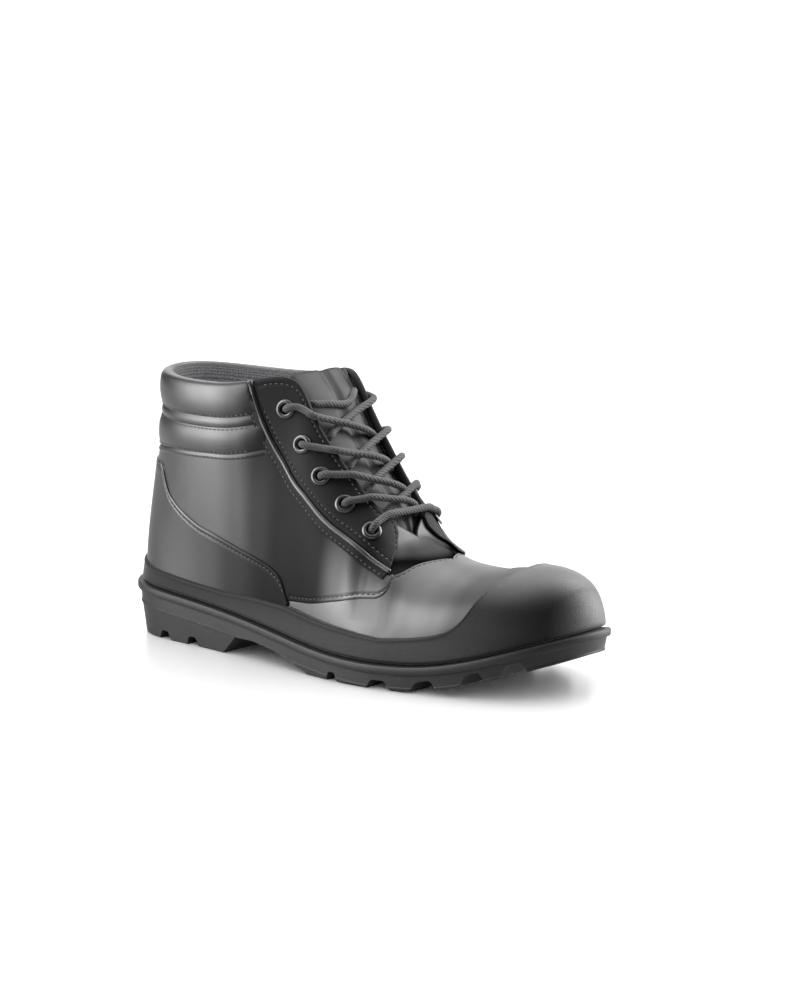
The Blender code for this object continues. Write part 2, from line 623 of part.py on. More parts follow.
def strand_path(number, side, rows):
    # lace from an eyelet over its own facing, then across the tongue
    near, drop = EYELETS[number]
    edge, middle = LACE_ROWS[number]
    shares = np.array((0.0, 0.5, 0.8, 1.0))
    stations = near + shares * (edge - near)
    stations = stations if side > 0 else TURN - stations
    heights = tall(stations) - drop * (1.0 - shares)
    lead = on_skin(stations, heights[None, :], rows[0][1])[0]
    away = np.linalg.norm(lead - lead[0], axis=1)
    start = np.interp(LACE_START, away, shares)
    first = [np.interp(start, shares, lead[:, axis]) for axis in range(3)]
    path = [first] + [p for p, share in zip(lead[:-1], shares) if share > start + 0.1]
    for across, above in rows:
        row = edge + 2.0 * across * (middle - edge)
        pair = np.array([row, TURN - row])[::side]
        edges = on_skin(pair, tall(pair)[None, :], above)[0]
        path.append(edges[0] + across * (edges[1] - edges[0]))
    return np.array(path)


def build_laces(surface):
    for number in range(len(EYELETS) - 1):
        mesh = bmesh.new()
        tube(mesh, strand_path(number, 1, STRAND), LACE_RADIUS, LACE_SIDES)
        crossing = finish("lace_cross_%d" % (number + 1), mesh, surface)
        mesh = bmesh.new()
        tube(mesh, strand_path(number, -1, STRAND), LACE_RADIUS, LACE_SIDES)
        carve(crossing, finish("medial_strand_%d" % (number + 1), mesh), "UNION")
    mesh = bmesh.new()
    last = len(EYELETS) - 1
    halves = [strand_path(last, side, BAR) for side in (1, -1)]
    tube(mesh, np.vstack([halves[0], halves[1][-2::-1]]), LACE_RADIUS, LACE_SIDES)
    finish("lace_bar", mesh, surface)


def main():
    for old in list(bpy.data.objects):
        bpy.data.objects.remove(old)
    leather = material("black_leather", (0.02, 0.02, 0.02), 0.35)
    facing_leather = material("matt_leather", (0.015, 0.015, 0.015), 0.6)
    padded = material("padded_leather", (0.025, 0.025, 0.025), 0.4)
    rubber = material("black_rubber", (0.03, 0.03, 0.03), 0.7)
    lining = material("grey_knit", (0.25, 0.25, 0.26), 0.9)
    cord = material("black_cord", (0.01, 0.01, 0.01), 0.9)
    metal = material("black_enamel", (0.02, 0.02, 0.02), 0.3)
    build_outsole(rubber)
    build_rand(rubber)
    upper = build_upper(leather)
    build_insole(lining)
    build_counter(leather)
    build_collar(padded)
    build_tongue(padded)
    pieces = [upper]
    for side, word in ((1, "lateral"), (-1, "medial")):
        build_quarter("quarter_" + word, side, leather)
        pieces.append(build_eyestay("eyestay_" + word, side, facing_leather))
        build_piping("piping_" + word, side, facing_leather)
    build_eyelets(pieces, metal)
    build_laces(cord)


main()
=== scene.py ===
import math
import bmesh
import bpy
import numpy as np
from mathutils import Matrix, Vector


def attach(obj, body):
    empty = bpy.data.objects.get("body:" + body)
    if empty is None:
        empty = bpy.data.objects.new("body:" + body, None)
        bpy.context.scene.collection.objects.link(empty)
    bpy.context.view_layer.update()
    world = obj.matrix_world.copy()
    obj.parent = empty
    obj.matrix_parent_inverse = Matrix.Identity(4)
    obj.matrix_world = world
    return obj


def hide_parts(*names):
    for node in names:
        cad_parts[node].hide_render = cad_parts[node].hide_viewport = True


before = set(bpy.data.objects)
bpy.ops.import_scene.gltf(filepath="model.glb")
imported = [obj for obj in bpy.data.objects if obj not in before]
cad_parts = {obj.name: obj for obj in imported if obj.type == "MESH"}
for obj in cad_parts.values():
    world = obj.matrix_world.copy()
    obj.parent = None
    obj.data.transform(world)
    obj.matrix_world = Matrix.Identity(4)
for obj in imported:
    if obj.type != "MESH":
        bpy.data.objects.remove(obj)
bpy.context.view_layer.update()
mm = 0.001
weldGap = 0.02 * mm
sides = ((1, "Lateral"), (-1, "Medial"))
print("frame:", len(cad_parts), "nodes")

# the last in mm, the same sections as the solids: x heel to toe, y to the medial side, z up
last = {
    "length": 293.5,         # upper, heel back to toe tip
    "ballWidth": 97.0,
    "collarHeight": 152.5,
    "wall": 2.2,             # leather with its lining
    "lipOut": 7.5,           # sole lip beyond the foot of the upper
    "soleGap": 0.7,          # dark groove between the sole and the band above it
}
percent = last["length"] / 100.0     # mm in one percent of the length
# shares are percent: at, topAt of the length, lateral, medial, topGap of the ball width,
# topHeight of the collar height; the handles of each section curve are in mm
sectionColumns = ("name", "at", "lateral", "medial", "topAt", "topGap", "topHeight",
                  "swell", "rise", "lean", "drop")
sections = (
    ("heel seam", 0.00, 0.00, 0.00, 5.96, 0.00, 100.00, 0.8, 38.0, 0.5, -40.0),
    ("heel turn", 4.26, 24.23, 23.20, 7.84, 20.10, 99.34, 0.6, 38.0, 0.0, -40.0),
    ("heel side", 13.80, 30.93, 29.90, 14.82, 34.02, 98.03, 1.8, 38.0, 2.5, -40.0),
    ("rear quarter", 24.70, 33.30, 30.93, 24.87, 38.14, 97.51, 2.0, 36.0, 3.0, -40.0),
    ("ankle", 34.24, 37.11, 31.96, 33.56, 35.57, 99.02, 2.0, 34.0, 3.5, -40.0),
    ("throat top", 43.10, 41.03, 35.05, 42.08, 25.26, 100.00, 3.0, 34.0, 6.0, -36.0),
    ("throat high", 49.91, 44.64, 39.18, 46.51, 23.71, 87.87, 3.0, 34.0, 9.0, -28.0),
    ("throat mid", 56.05, 47.94, 42.78, 51.96, 21.65, 73.44, 3.0, 33.0, 12.0, -20.0),
    ("throat low", 61.16, 49.79, 45.67, 57.75, 18.56, 60.33, 2.5, 32.0, 14.5, -11.0),
    ("throat foot", 64.57, 50.21, 47.22, 61.50, 13.40, 53.11, 2.2, 31.0, 18.0, -5.0),
    ("throat end", 67.63, 50.10, 48.25, 63.88, 0.00, 47.05, 2.0, 30.0, 24.0, -1.0),
    ("ball", 72.74, 48.45, 48.97, 70.36, 0.00, 40.71, 2.0, 28.0, 25.3, 0.0),
    ("cap edge", 79.56, 45.36, 48.45, 77.51, 0.00, 38.58, 2.0, 28.0, 25.7, 0.0),
    ("toe", 87.73, 39.69, 43.10, 81.60, 0.00, 38.44, 2.2, 27.0, 25.0, 0.6),
    ("toe turn", 95.23, 28.87, 28.90, 83.82, 0.00, 39.30, 2.6, 26.0, 26.0, 2.0),
    ("toe corner", 99.05, 14.43, 14.00, 85.01, 0.00, 39.93, 3.0, 26.0, 28.0, 3.6),
    ("toe tip", 100.00, 0.00, 0.00, 85.52, 0.00, 40.16, 2.8, 25.0, 29.0, 4.2),
)
ridge = [row[0] for row in sections].index("throat end")
# (percent of length, mm): top of the sole, and the middle line that swings towards the big toe
feather = ((-2.2, 31.5), (19.3, 26.0), (36.3, 21.5), (53.3, 15.4), (67.0, 13.2), (80.6, 16.4),
           (92.5, 26.3), (103.7, 38.5))
middleLine = ((-2.2, 0.0), (32.9, 0.0), (60.1, 1.5), (80.6, 5.0), (103.7, 8.0))
up = np.array([0.0, 0.0, 1.0])


def spline(knots, values, at, closed=False):
    # smooth cubic through the rows of values
    count = len(knots)
    step = np.diff(knots)
    end = count - 1
    left = np.zeros((count, count))
    right = np.zeros((count,) + values.shape[1:])
    left[0, 0] = left[end, end] = 1.0
    for i in range(0 if closed else 1, end):
        before = step[i - 1]
        prior = (i - 1) % end if closed else i - 1
        left[i] = 0.0
        left[i, prior] = before
        left[i, i] = 2.0 * (before + step[i])
        left[i, i + 1] = step[i]
        slopeIn = (values[i] - values[prior]) / before
        right[i] = 6.0 * ((values[i + 1] - values[i]) / step[i] - slopeIn)
    if closed:
        left[end, 0] = -1.0
    bend = np.linalg.solve(left, right.reshape(count, -1)).reshape(right.shape)
    k = np.clip(np.searchsorted(knots, at) - 1, 0, end - 1)
    shape = np.shape(at) + (1,) * (values.ndim - 1)
    width = step[k].reshape(shape)
    a = (knots[k + 1] - at).reshape(shape)
    b = (at - knots[k]).reshape(shape)
    cubic = (bend[k] * a ** 3 + bend[k + 1] * b ** 3) / (6.0 * width)
    lineA = (values[k] / width - bend[k] * width / 6.0) * a
    lineB = (values[k + 1] / width - bend[k + 1] * width / 6.0) * b
    return cubic + lineA + lineB


def alongFoot(table, x):
    rows = np.array(table)
    knots = rows[:, 0] * percent
    return spline(knots, rows[:, 1], np.clip(x, knots[0], knots[-1]))


def smoothTable(table, at):
    # smooth curve through a short table, held at its ends
    rows = np.array(table, float)
    return spline(rows[:, 0], rows[:, 1], np.clip(at, rows[0, 0], rows[-1, 0]))


def straight(table, at):
    rows = np.array(table, float)
    return np.interp(at, rows[:, 0], rows[:, 1])


def eased(table, at, reach):
    # straight lines with their corners rounded over the reach
    return np.mean([straight(table, at + reach * d) for d in np.linspace(-1.0, 1.0, 9)], axis=0)


def sectionLoop():
    # lateral side from heel to toe, then the medial side back to the heel
    rows = [dict(zip(sectionColumns, row)) for row in sections]
    loop = []
    for side, half, order in ((-1, "lateral", rows), (1, "medial", rows[-2::-1])):
        for row in order:
            x = row["at"] * percent
            topX = row["topAt"] * percent
            y = alongFoot(middleLine, x) + side * row[half] * last["ballWidth"] / 100.0
            topY = alongFoot(middleLine, topX) + side * row["topGap"] * last["ballWidth"] / 100.0
            topZ = row["topHeight"] * last["collarHeight"] / 100.0
            handles = [row[key] for key in ("swell", "rise", "lean", "drop")]
            loop.append([x, y, alongFoot(feather, x), topX, topY, topZ] + handles)
    return np.array(loop)


loopRows = sectionLoop()
chords = np.sqrt(np.linalg.norm(np.diff(0.6 * loopRows[:, 0:3] + 0.4 * loopRows[:, 3:6], axis=0), axis=1))
knots = np.concatenate([[0.0], np.cumsum(0.5 * (chords + chords[::-1]))])
turn = len(knots) - 1        # sections once round the boot
nudge = 0.002 * knots[-1]


def unit(vectors):
    return vectors / np.maximum(np.linalg.norm(vectors, axis=-1, keepdims=True), 1e-9)


def knotAt(station):
    return np.interp(np.mod(station, turn), np.arange(turn + 1), knots)


def footOut(t):
    # outward direction in plan at the foot of the upper
    plan = [spline(knots, loopRows[:, 0:2], np.mod(t + d, knots[-1]), True) for d in (-nudge, nudge)]
    run = unit(plan[1] - plan[0])
    return np.stack([run[..., 1], -run[..., 0], np.zeros(np.shape(t))], axis=-1)


def skin(t, v):
    # point of the last: t around the foot, v from the sole (0) to the top line (1)
    t, v = np.broadcast_arrays(np.mod(t, knots[-1]), v)
    row = spline(knots, loopRows, t, True)
    out = footOut(t)
    foot = row[..., 0:3]
    top = row[..., 3:6].copy()
    sewn = (t >= knots[ridge]) & (t <= knots[turn - ridge])
    top[..., 1] = np.where(sewn, alongFoot(middleLine, top[..., 0]), top[..., 1])
    first = foot + out * row[..., 6:7] + up * row[..., 7:8]
    second = top + out * row[..., 8:9] + up * row[..., 9:10]
    v = v[..., None]
    w = 1.0 - v
    return w ** 3 * foot + 3.0 * w * w * v * first + 3.0 * w * v * v * second + v ** 3 * top


def facing(t, v):
    v = np.clip(v, 0.01, 0.98)
    across = skin(t + nudge, v) - skin(t - nudge, v)
    return unit(np.cross(across, skin(t, v + 0.01) - skin(t, v - 0.01)))


# lengths along the sections, looked up instead of measured for each vertex
tableStations = np.linspace(0.0, turn, turn * 20 + 1)
tableShares = np.linspace(0.0, 1.0, 201)
tablePath = skin(knotAt(tableStations)[:, None], tableShares[None, :])
tableRun = np.cumsum(np.linalg.norm(np.diff(tablePath, axis=1), axis=2), axis=1)
tableRun = np.concatenate([np.zeros((len(tableStations), 1)), tableRun], axis=1)
tableSteps = np.stack([np.interp(tableShares * run[-1], run, tableShares) for run in tableRun])


def tallAt(station):
    return np.interp(np.mod(station, turn), tableStations, tableRun[:, -1])


def stepAt(station, share):
    # step v of the section curve at a share of its length
    a = np.mod(station, turn) / turn * (len(tableStations) - 1)
    b = np.clip(share, 0.0, 1.0) * (len(tableShares) - 1)
    i = np.minimum(a.astype(int), len(tableStations) - 2)
    j = np.minimum(b.astype(int), len(tableShares) - 2)
    a, b = a - i, b - j
    low = tableSteps[i, j] * (1.0 - a) + tableSteps[i + 1, j] * a
    high = tableSteps[i, j + 1] * (1.0 - a) + tableSteps[i + 1, j + 1] * a
    return low * (1.0 - b) + high * b


def lastPoint(station, height, out, above):
    t = knotAt(station)
    v = stepAt(station, height / tallAt(station))
    normal = facing(t, v)
    sewn = (v > 0.995) & (t >= knots[ridge] - nudge) & (t <= knots[turn - ridge] + nudge)
    normal = np.where(sewn[..., None], unit(normal + facing(knots[-1] - t, v)), normal)
    point = skin(t, v) + normal * out[..., None]
    if np.any(above):
        v = np.clip(v, 0.02, 1.0)
        point = point + unit(skin(t, v) - skin(t, v - 0.02)) * above[..., None]
    return point


def near(station):
    # section number counted from the heel on either side
    station = np.mod(station, turn)
    return np.minimum(station, turn - station)


def onSide(station, side):
    # the same section on the lateral (1) or the medial side (-1)
    return station if side > 0 else turn - station


# where the leather is drawn evenly from the quarter into the vamp
drawn = {
    "middle": 9.3,           # section
    "reach": 2.6,            # sections to either side
    "spread": 1.5,           # sections averaged at the middle
    "rise": (10.0, 20.0),    # mm up, from none to full
    "fade": (0.62, 0.87),    # share of the height, from full to none
}


def onLast(station, height, out=0.0, above=0.0):
    # mm up the section from the sole, mm out from the last, mm past the top edge
    station, height, out, above = np.broadcast_arrays(np.asarray(station, float), height, out, above)
    ease = np.clip(1.0 - np.abs(near(station) - drawn["middle"]) / drawn["reach"], 0.0, 1.0)
    ease = ease * ease * (3.0 - 2.0 * ease)
    ease = ease * np.interp(height, drawn["rise"], (0.0, 1.0))
    ease = ease * np.interp(height / tallAt(station), drawn["fade"], (1.0, 0.0))
    some = ease > 0.001
    steps = np.linspace(-1.0, 1.0, 7)[:, None] * drawn["spread"]
    spread = (station[some] + ease[some] * steps).ravel()
    places = [np.concatenate([a.ravel(), np.tile(a[some], len(steps))]) for a in (height, out, above)]
    found = lastPoint(np.concatenate([station.ravel(), spread]), *places)
    point = found[:station.size].reshape(station.shape + (3,))
    if len(spread):
        point[some] = found[station.size:].reshape(len(steps), -1, 3).mean(axis=0)
    return point


def outline(stations, out):
    t = knotAt(stations)
    return skin(t, np.zeros(len(t))) + footOut(t) * np.broadcast_to(out, len(t))[:, None]


loopStations = np.linspace(0.0, turn, 1601)[:-1]
lipLoop = outline(loopStations, last["lipOut"])[:, :2]
origin = np.array([146.75, 0.5 * (lipLoop[:, 1].min() + lipLoop[:, 1].max()), 0.0])


def toMetres(points):
    return (np.asarray(points) - origin) * mm


# small helpers for meshes and nodes

def linear(hexColour):
    # sRGB hex to linear
    parts = [int(hexColour[i:i + 2], 16) / 255.0 for i in (1, 3, 5)]
    return [c / 12.92 if c <= 0.04045 else ((c + 0.055) / 1.055) ** 2.4 for c in parts] + [1.0]


def addNode(tree, kind, settings=None, inputs=None):
    # a node with its settings; inputs hold values or the sockets that feed them
    node = tree.nodes.new(kind)
    for key, value in (settings or {}).items():
        setattr(node, key, value)
    for key, value in (inputs or {}).items():
        if isinstance(value, bpy.types.NodeSocket):
            tree.links.new(value, node.inputs[key])
        else:
            node.inputs[key].default_value = value
    return node


def newMaterial(name, **sockets):
    material = bpy.data.materials.new(name)
    material.use_nodes = True
    shader = material.node_tree.nodes["Principled BSDF"]
    for key, value in sockets.items():
        shader.inputs[key.replace("_", " ")].default_value = value
    return material, material.node_tree, shader


def gridMesh(field, mesh=None):
    # a grid whose columns and rows take the places in field
    columns, rows = field.shape[0] - 1, field.shape[1] - 1
    mesh = mesh or bmesh.new()
    if not mesh.loops.layers.uv:
        mesh.loops.layers.uv.new("UVMap")
    made = bmesh.ops.create_grid(mesh, x_segments=columns, y_segments=rows, size=0.5, calc_uvs=True)
    places = toMetres(field)
    for vert in made["verts"]:
        i = round((vert.co.x + 0.5) * columns)
        j = round((vert.co.y + 0.5) * rows)
        vert.co = places[i, j]
    return mesh


def finishPiece(name, mesh, materials, nodes=(), weld=True):
    if weld:
        bmesh.ops.remove_doubles(mesh, verts=mesh.verts, dist=weldGap)
    data = bpy.data.meshes.new(name)
    mesh.to_mesh(data)
    mesh.free()
    data.shade_smooth()
    for material in materials:
        data.materials.append(material)
    piece = bpy.data.objects.new(name, data)
    bpy.context.scene.collection.objects.link(piece)
    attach(piece, "root")
    if nodes:
        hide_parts(*nodes)
    print("piece:", name, len(data.polygons), "faces")
    return piece


def thicken(piece, thickness, inner=0):
    wall = piece.modifiers.new("wall", "SOLIDIFY")
    wall.thickness = thickness * mm
    wall.offset = -1.0
    wall.material_offset = inner


# materials

def noise(tree, place, sizeMm, detail, rough=0.5):
    return addNode(tree, "ShaderNodeTexNoise", None,
                   {"Vector": place, "Scale": 1.0 / (sizeMm * mm),
                    "Detail": detail, "Roughness": rough}).outputs["Fac"]


def cells(tree, place, scale, uneven):
    return addNode(tree, "ShaderNodeTexVoronoi", {"feature": "F1"},
                   {"Vector": place, "Scale": scale, "Randomness": uneven}).outputs["Distance"]


def shaded(colour, share):
    return [c * share for c in linear(colour)[:3]] + [1.0]


def twoTone(tree, shader, value, colour, low, high):
    # colour between two stops: (place on the ramp, share of the colour)
    tone = addNode(tree, "ShaderNodeValToRGB", None, {"Fac": value})
    for stop, (place, share) in zip(tone.color_ramp.elements, (low, high)):
        stop.position = place
        stop.color = shaded(colour, share)
    tree.links.new(tone.outputs["Color"], shader.inputs["Base Color"])


def roughen(tree, shader, value, span, low, high):
    # roughness that wanders with a pattern
    spread = addNode(tree, "ShaderNodeMapRange", None,
                     {"Value": value, "From Min": span[0], "From Max": span[1],
                      "To Min": low, "To Max": high})
    tree.links.new(spread.outputs["Result"], shader.inputs["Roughness"])


def emboss(tree, shader, height, strength, depthMm, settings=None):
    # a bump, laid on the one before it
    bump = addNode(tree, "ShaderNodeBump", settings,
                   {"Height": height, "Strength": strength, "Distance": depthMm * mm})
    under = shader.inputs["Normal"].links
    if under:
        tree.links.new(under[0].from_socket, bump.inputs["Normal"])
    tree.links.new(bump.outputs["Normal"], shader.inputs["Normal"])


def paintShadeAndHighlight(tree, shader, axis, stops, sockets, tip=None):
    # painted shade: the shine and coat are turned down in places to stand in for shade, and roughness rises a
    # little there: (mm along an axis of the boot, share of the shine left);
    # tip is the stretch in mm over which the shine comes back at the toe rim as painted highlight
    place = addNode(tree, "ShaderNodeTexCoord").outputs["Object"]
    split = addNode(tree, "ShaderNodeSeparateXYZ", None, {"Vector": place})
    first, end = stops[0][0], stops[-1][0]
    run = addNode(tree, "ShaderNodeMapRange", None,
                  {"Value": split.outputs[axis], "From Min": first * mm, "From Max": end * mm})
    left = addNode(tree, "ShaderNodeValToRGB", None, {"Fac": run.outputs["Result"]})
    left.color_ramp.interpolation = "EASE"
    for at, share in stops[1:-1]:
        left.color_ramp.elements.new((at - first) / (end - first))
    for stop, (at, share) in zip(left.color_ramp.elements, stops):
        stop.color = (share, share, share, 1.0)
    shine = left.outputs["Color"]
    if tip:
        front = addNode(tree, "ShaderNodeMapRange", None,
                        {"Value": split.outputs["X"], "From Min": tip[0] * mm, "From Max": tip[1] * mm})
        shine = addNode(tree, "ShaderNodeMath", {"operation": "MAXIMUM"},
                        {0: shine, 1: front.outputs["Result"]}).outputs[0]
    for socket, full in sockets.items():
        kept = addNode(tree, "ShaderNodeMath", {"operation": "MULTIPLY"}, {0: shine, 1: full})
        tree.links.new(kept.outputs[0], shader.inputs[socket])
    smooth = shader.inputs["Roughness"].links[0].from_socket
    roughWhereShaded = addNode(tree, "ShaderNodeMapRange", None,
                     {"Value": shine, "To Min": paintedLightPlaces["rough"], "To Max": 0.0})
    rough = addNode(tree, "ShaderNodeMath", {"operation": "ADD"}, {0: smooth, 1: roughWhereShaded.outputs["Result"]})
    tree.links.new(rough.outputs[0], shader.inputs["Roughness"])


def polishedLeather(name, colour, rough, poreMm, pore, coat, shine, paintedLight=None, axis="X"):
    # finished side leather: near black, smooth, a broad soft shine broken by fine pores
    material, tree, shader = newMaterial(name, IOR=1.5, Specular_IOR_Level=shine, Coat_Weight=coat,
                                         Coat_Roughness=0.22)
    place = addNode(tree, "ShaderNodeTexCoord").outputs["Object"]
    cloud = noise(tree, place, 28.0, 4.0, 0.55)
    twoTone(tree, shader, cloud, colour, (0.3, 0.75), (0.75, 1.3))
    roughen(tree, shader, cloud, (0.25, 0.75), rough - 0.05, rough + 0.06)
    emboss(tree, shader, cells(tree, place, 1.0 / (poreMm * mm), 1.0), pore, 0.12)
    emboss(tree, shader, noise(tree, place, poreMm * 0.4, 3.0), pore * 0.6, 0.08)
    # painted shade: where given, the shine fades over set stretches of the boot where shade falls
    if paintedLight:
        paintShadeAndHighlight(tree, shader, axis, paintedLightPlaces[paintedLight], {"Specular IOR Level": shine, "Coat Weight": coat})
    return material


def mouldedRubber(name, colour, rough, gritMm, grit, shine, bloom, paintedLight=None):
    # moulded nitrile rubber: dull charcoal, a fine spark-eroded grain that scatters the light,
    # a pale bloom at its rims
    material, tree, shader = newMaterial(name, IOR=1.5, Specular_IOR_Level=shine, Sheen_Weight=bloom,
                                         Sheen_Roughness=0.35)
    place = addNode(tree, "ShaderNodeTexCoord").outputs["Object"]
    grain = noise(tree, place, gritMm, 2.0, 0.6)
    twoTone(tree, shader, noise(tree, place, 18.0, 5.0), colour, (0.3, 0.8), (0.72, 1.25))
    roughen(tree, shader, grain, (0.3, 0.7), rough - 0.06, rough + 0.08)
    emboss(tree, shader, grain, grit, 0.25)
    # painted light: where given, the shine drops up the side of the toe band as painted shade and stays full
    # on its top and toe rim as painted highlight
    if paintedLight:
        paintShadeAndHighlight(tree, shader, "Z", paintedLightPlaces[paintedLight], {"Specular IOR Level": shine}, paintedLightPlaces["toeRimHighlight"])
    return material


def knitLining(name, colour, across, along):
    # spacer knit: grey yarn in fine ribs round the collar, open and dull
    material, tree, shader = newMaterial(name, IOR=1.45, Roughness=0.95, Sheen_Weight=0.25,
                                         Sheen_Roughness=0.5)
    place = addNode(tree, "ShaderNodeTexCoord").outputs["UV"]
    scaled = addNode(tree, "ShaderNodeMapping", None, {"Vector": place, "Scale": (across, along, 1.0)})
    loops = cells(tree, scaled.outputs[0], 1.0, 0.25)
    twoTone(tree, shader, loops, colour, (0.1, 1.5), (0.6, 0.35))
    emboss(tree, shader, loops, 0.8, 0.6, {"invert": True})
    return material


def braidedCord(name, colour, length):
    # braided polyester: dull black with small slanting plaits that catch the light
    material, tree, shader = newMaterial(name, IOR=1.5, Roughness=0.75, Sheen_Weight=0.15)
    place = addNode(tree, "ShaderNodeTexCoord").outputs["UV"]
    turned = addNode(tree, "ShaderNodeMapping", None,
                     {"Vector": place, "Scale": (length / 1.5, 8.0, 1.0)})   # 1.5 mm plaits, 8 round
    plait = addNode(tree, "ShaderNodeTexWave", {"wave_type": "BANDS", "bands_direction": "DIAGONAL"},
                    {"Vector": turned.outputs[0], "Scale": 0.45, "Distortion": 0.0})
    counter = addNode(tree, "ShaderNodeTexChecker", None, {"Vector": turned.outputs[0], "Scale": 1.0})
    # painted highlight and shade: the colour is lighter on the raised plaits and darker in the grooves
    # between them
    tone = addNode(tree, "ShaderNodeMix", {"data_type": "RGBA"},
                   {"Factor": plait.outputs["Fac"], 6: shaded(colour, 0.6), 7: shaded(colour, 1.8)})
    tree.links.new(tone.outputs[2], shader.inputs["Base Color"])
    high = addNode(tree, "ShaderNodeMath", {"operation": "ADD"},
                   {0: plait.outputs["Fac"], 1: counter.outputs["Fac"]})
    emboss(tree, shader, high.outputs[0], 0.7, 0.3)
    return material


def blackEnamel(name, colour):
    # enamelled brass: smooth and glossy with a slight orange peel
    material, tree, shader = newMaterial(name, Base_Color=linear(colour), IOR=1.5, Roughness=0.34,
                                         Coat_Weight=0.15, Coat_Roughness=0.2)
    place = addNode(tree, "ShaderNodeTexCoord").outputs["Object"]
    emboss(tree, shader, noise(tree, place, 1.2, 2.0), 0.15, 0.1)
    return material


def waxedThread(name, colour):
    # waxed polyester thread: black with a soft twist
    material, tree, shader = newMaterial(name, IOR=1.5, Roughness=0.5)
    place = addNode(tree, "ShaderNodeTexCoord").outputs["Object"]
    twist = noise(tree, place, 0.5, 1.0)
    twoTone(tree, shader, twist, colour, (0.0, 0.6), (1.0, 1.6))
    return material


# painted light places: stretches where the shine is turned down as painted shade, or kept as painted
# highlight: (mm along the boot or up from the floor, share of the shine left)
paintedLightPlaces = {
    # painted shade across the front of the quarter and collar beside the facing
    "side": ((-72.0, 1.0), (-54.0, 0.58), (-40.0, 0.24), (-24.0, 0.1), (8.0, 0.1), (22.0, 0.5), (34.0, 1.0)),
    # painted shade on the heel counter towards its front
    "heel": ((-100.0, 1.0), (-78.0, 0.7), (-60.0, 0.35), (-30.0, 0.12), (0.0, 0.1)),
    # painted shade in the fold of the upper in front of the facings, darkest 54 to 66 mm up
    "fold": ((46.0, 1.0), (54.0, 0.12), (62.0, 0.0), (66.0, 0.25), (72.0, 0.62), (90.0, 0.66)),
    # painted shade across the vamp before the toe cap
    "vamp": ((70.0, 1.0), (84.0, 0.8), (95.0, 0.52), (112.0, 0.52), (130.0, 0.62)),
    # painted shade up the side of the toe band, its top at full shine as painted highlight
    "toe": ((20.0, 0.42), (34.0, 0.3), (46.0, 0.2), (63.0, 1.0)),
    # painted highlight: full shine again over the toe's front rim (mm along the boot)
    "toeRimHighlight": (139.0, 150.0),
    "rough": 0.16,           # roughness added where no shine is left
}
# name, colour, roughness, pore size in mm, pore strength, coat, shine, painted shade places and their axis
vampLeather = polishedLeather("polished side leather", "#0e0e0f", 0.40, 1.4, 0.10, 0.08, 0.48, "vamp")
upperLeather = polishedLeather("side leather with painted fold shade", "#0e0e0f", 0.40, 1.4, 0.10, 0.08, 0.48, "fold", "Z")
# quarter leather with painted shade towards the facing
quarterLeather = polishedLeather("side leather with painted shade", "#0e0e0f", 0.40, 1.4, 0.10, 0.10, 0.5, "side")
counterLeather = polishedLeather("heel leather", "#0e0e0f", 0.40, 1.4, 0.10, 0.08, 0.45, "heel")
softLeather = polishedLeather("padded nappa leather", "#111112", 0.40, 1.2, 0.14, 0.08, 0.5, "side")
tongueLeather = polishedLeather("soft tongue leather", "#131314", 0.48, 1.2, 0.14, 0.0, 0.16)
facingLeather = polishedLeather("matt grained leather", "#070708", 0.62, 0.9, 0.30, 0.0, 0.12)
# name, colour, roughness, grain size in mm, grain strength, shine, bloom, painted light places
bandRubber = mouldedRubber("moulded rubber band", "#09090a", 0.56, 0.7, 0.6, 0.60, 0.3, "toe")
soleRubber = mouldedRubber("moulded rubber sole", "#141415", 0.54, 0.8, 0.3, 0.25, 0.05)
# name, colour, loops along and across the piece
lining = knitLining("grey spacer knit", "#6f6f73", 240.0, 30.0)
innerKnit = knitLining("grey vamp knit", "#626266", 640.0, 64.0)
sockKnit = knitLining("grey sock knit", "#5a5a5e", 240.0, 72.0)
enamel = blackEnamel("black enamel", "#141415")
thread = waxedThread("waxed thread", "#282829")
print("materials ready")


# panels laid on the last

def stationsBetween(first, end, step, fineEnds=True):
    # even columns with a few close ones at each end
    count = int(round(abs(end - first) / step))
    even = np.linspace(first, end, count + 1)
    if not fineEnds:
        return even
    close = np.array((0.015, 0.04, 0.08)) * np.sign(end - first)
    return np.sort(np.concatenate([even, first + close, end - close]))


def panelField(stations, low, high, rows, ends=None):
    # rows: (edge the height is measured from, mm or share, mm out, mm past the top)
    lowHeight = low(stations)
    highHeight = high(stations)
    lowReach = max([row[1] for row in rows if row[0] == "low"] + [0.0])
    highReach = max([row[1] for row in rows if row[0] == "high"] + [0.0])
    squeeze = np.minimum(1.0, (highHeight - lowHeight) / (lowReach + highReach + 0.5))
    field = []
    for edge, amount, out, *past in rows:
        if edge == "low":
            height = lowHeight + amount * squeeze
        elif edge == "high":
            height = highHeight - amount * squeeze
        else:
            room = highHeight - lowHeight - (lowReach + highReach) * squeeze
            height = lowHeight + lowReach * squeeze + amount * room
        rise = out if ends is None else out * ends(stations)
        field.append(onLast(stations, height, rise, past[0] if past else 0.0))
    return np.stack(field, axis=1)


def openRows(count, out):
    return [("mid", share, out) for share in np.linspace(0.0, 1.0, count)[1:-1]]


def thinEnd(front, edge):
    # a panel thins towards its rounded front end
    return lambda s: np.interp(front - near(s), (0.0, 0.012, 0.035, 0.06), (edge, 0.8, 0.97, 1.0))


def runAlong(path, power=1.0):
    # distance along a path from its start
    steps = np.linalg.norm(np.diff(path, axis=0), axis=1) ** power
    return np.concatenate([[0.0], np.cumsum(steps)])


stitch = {
    "pitch": 3.1,            # mm
    "length": 2.3,
    "radius": 0.36,
}


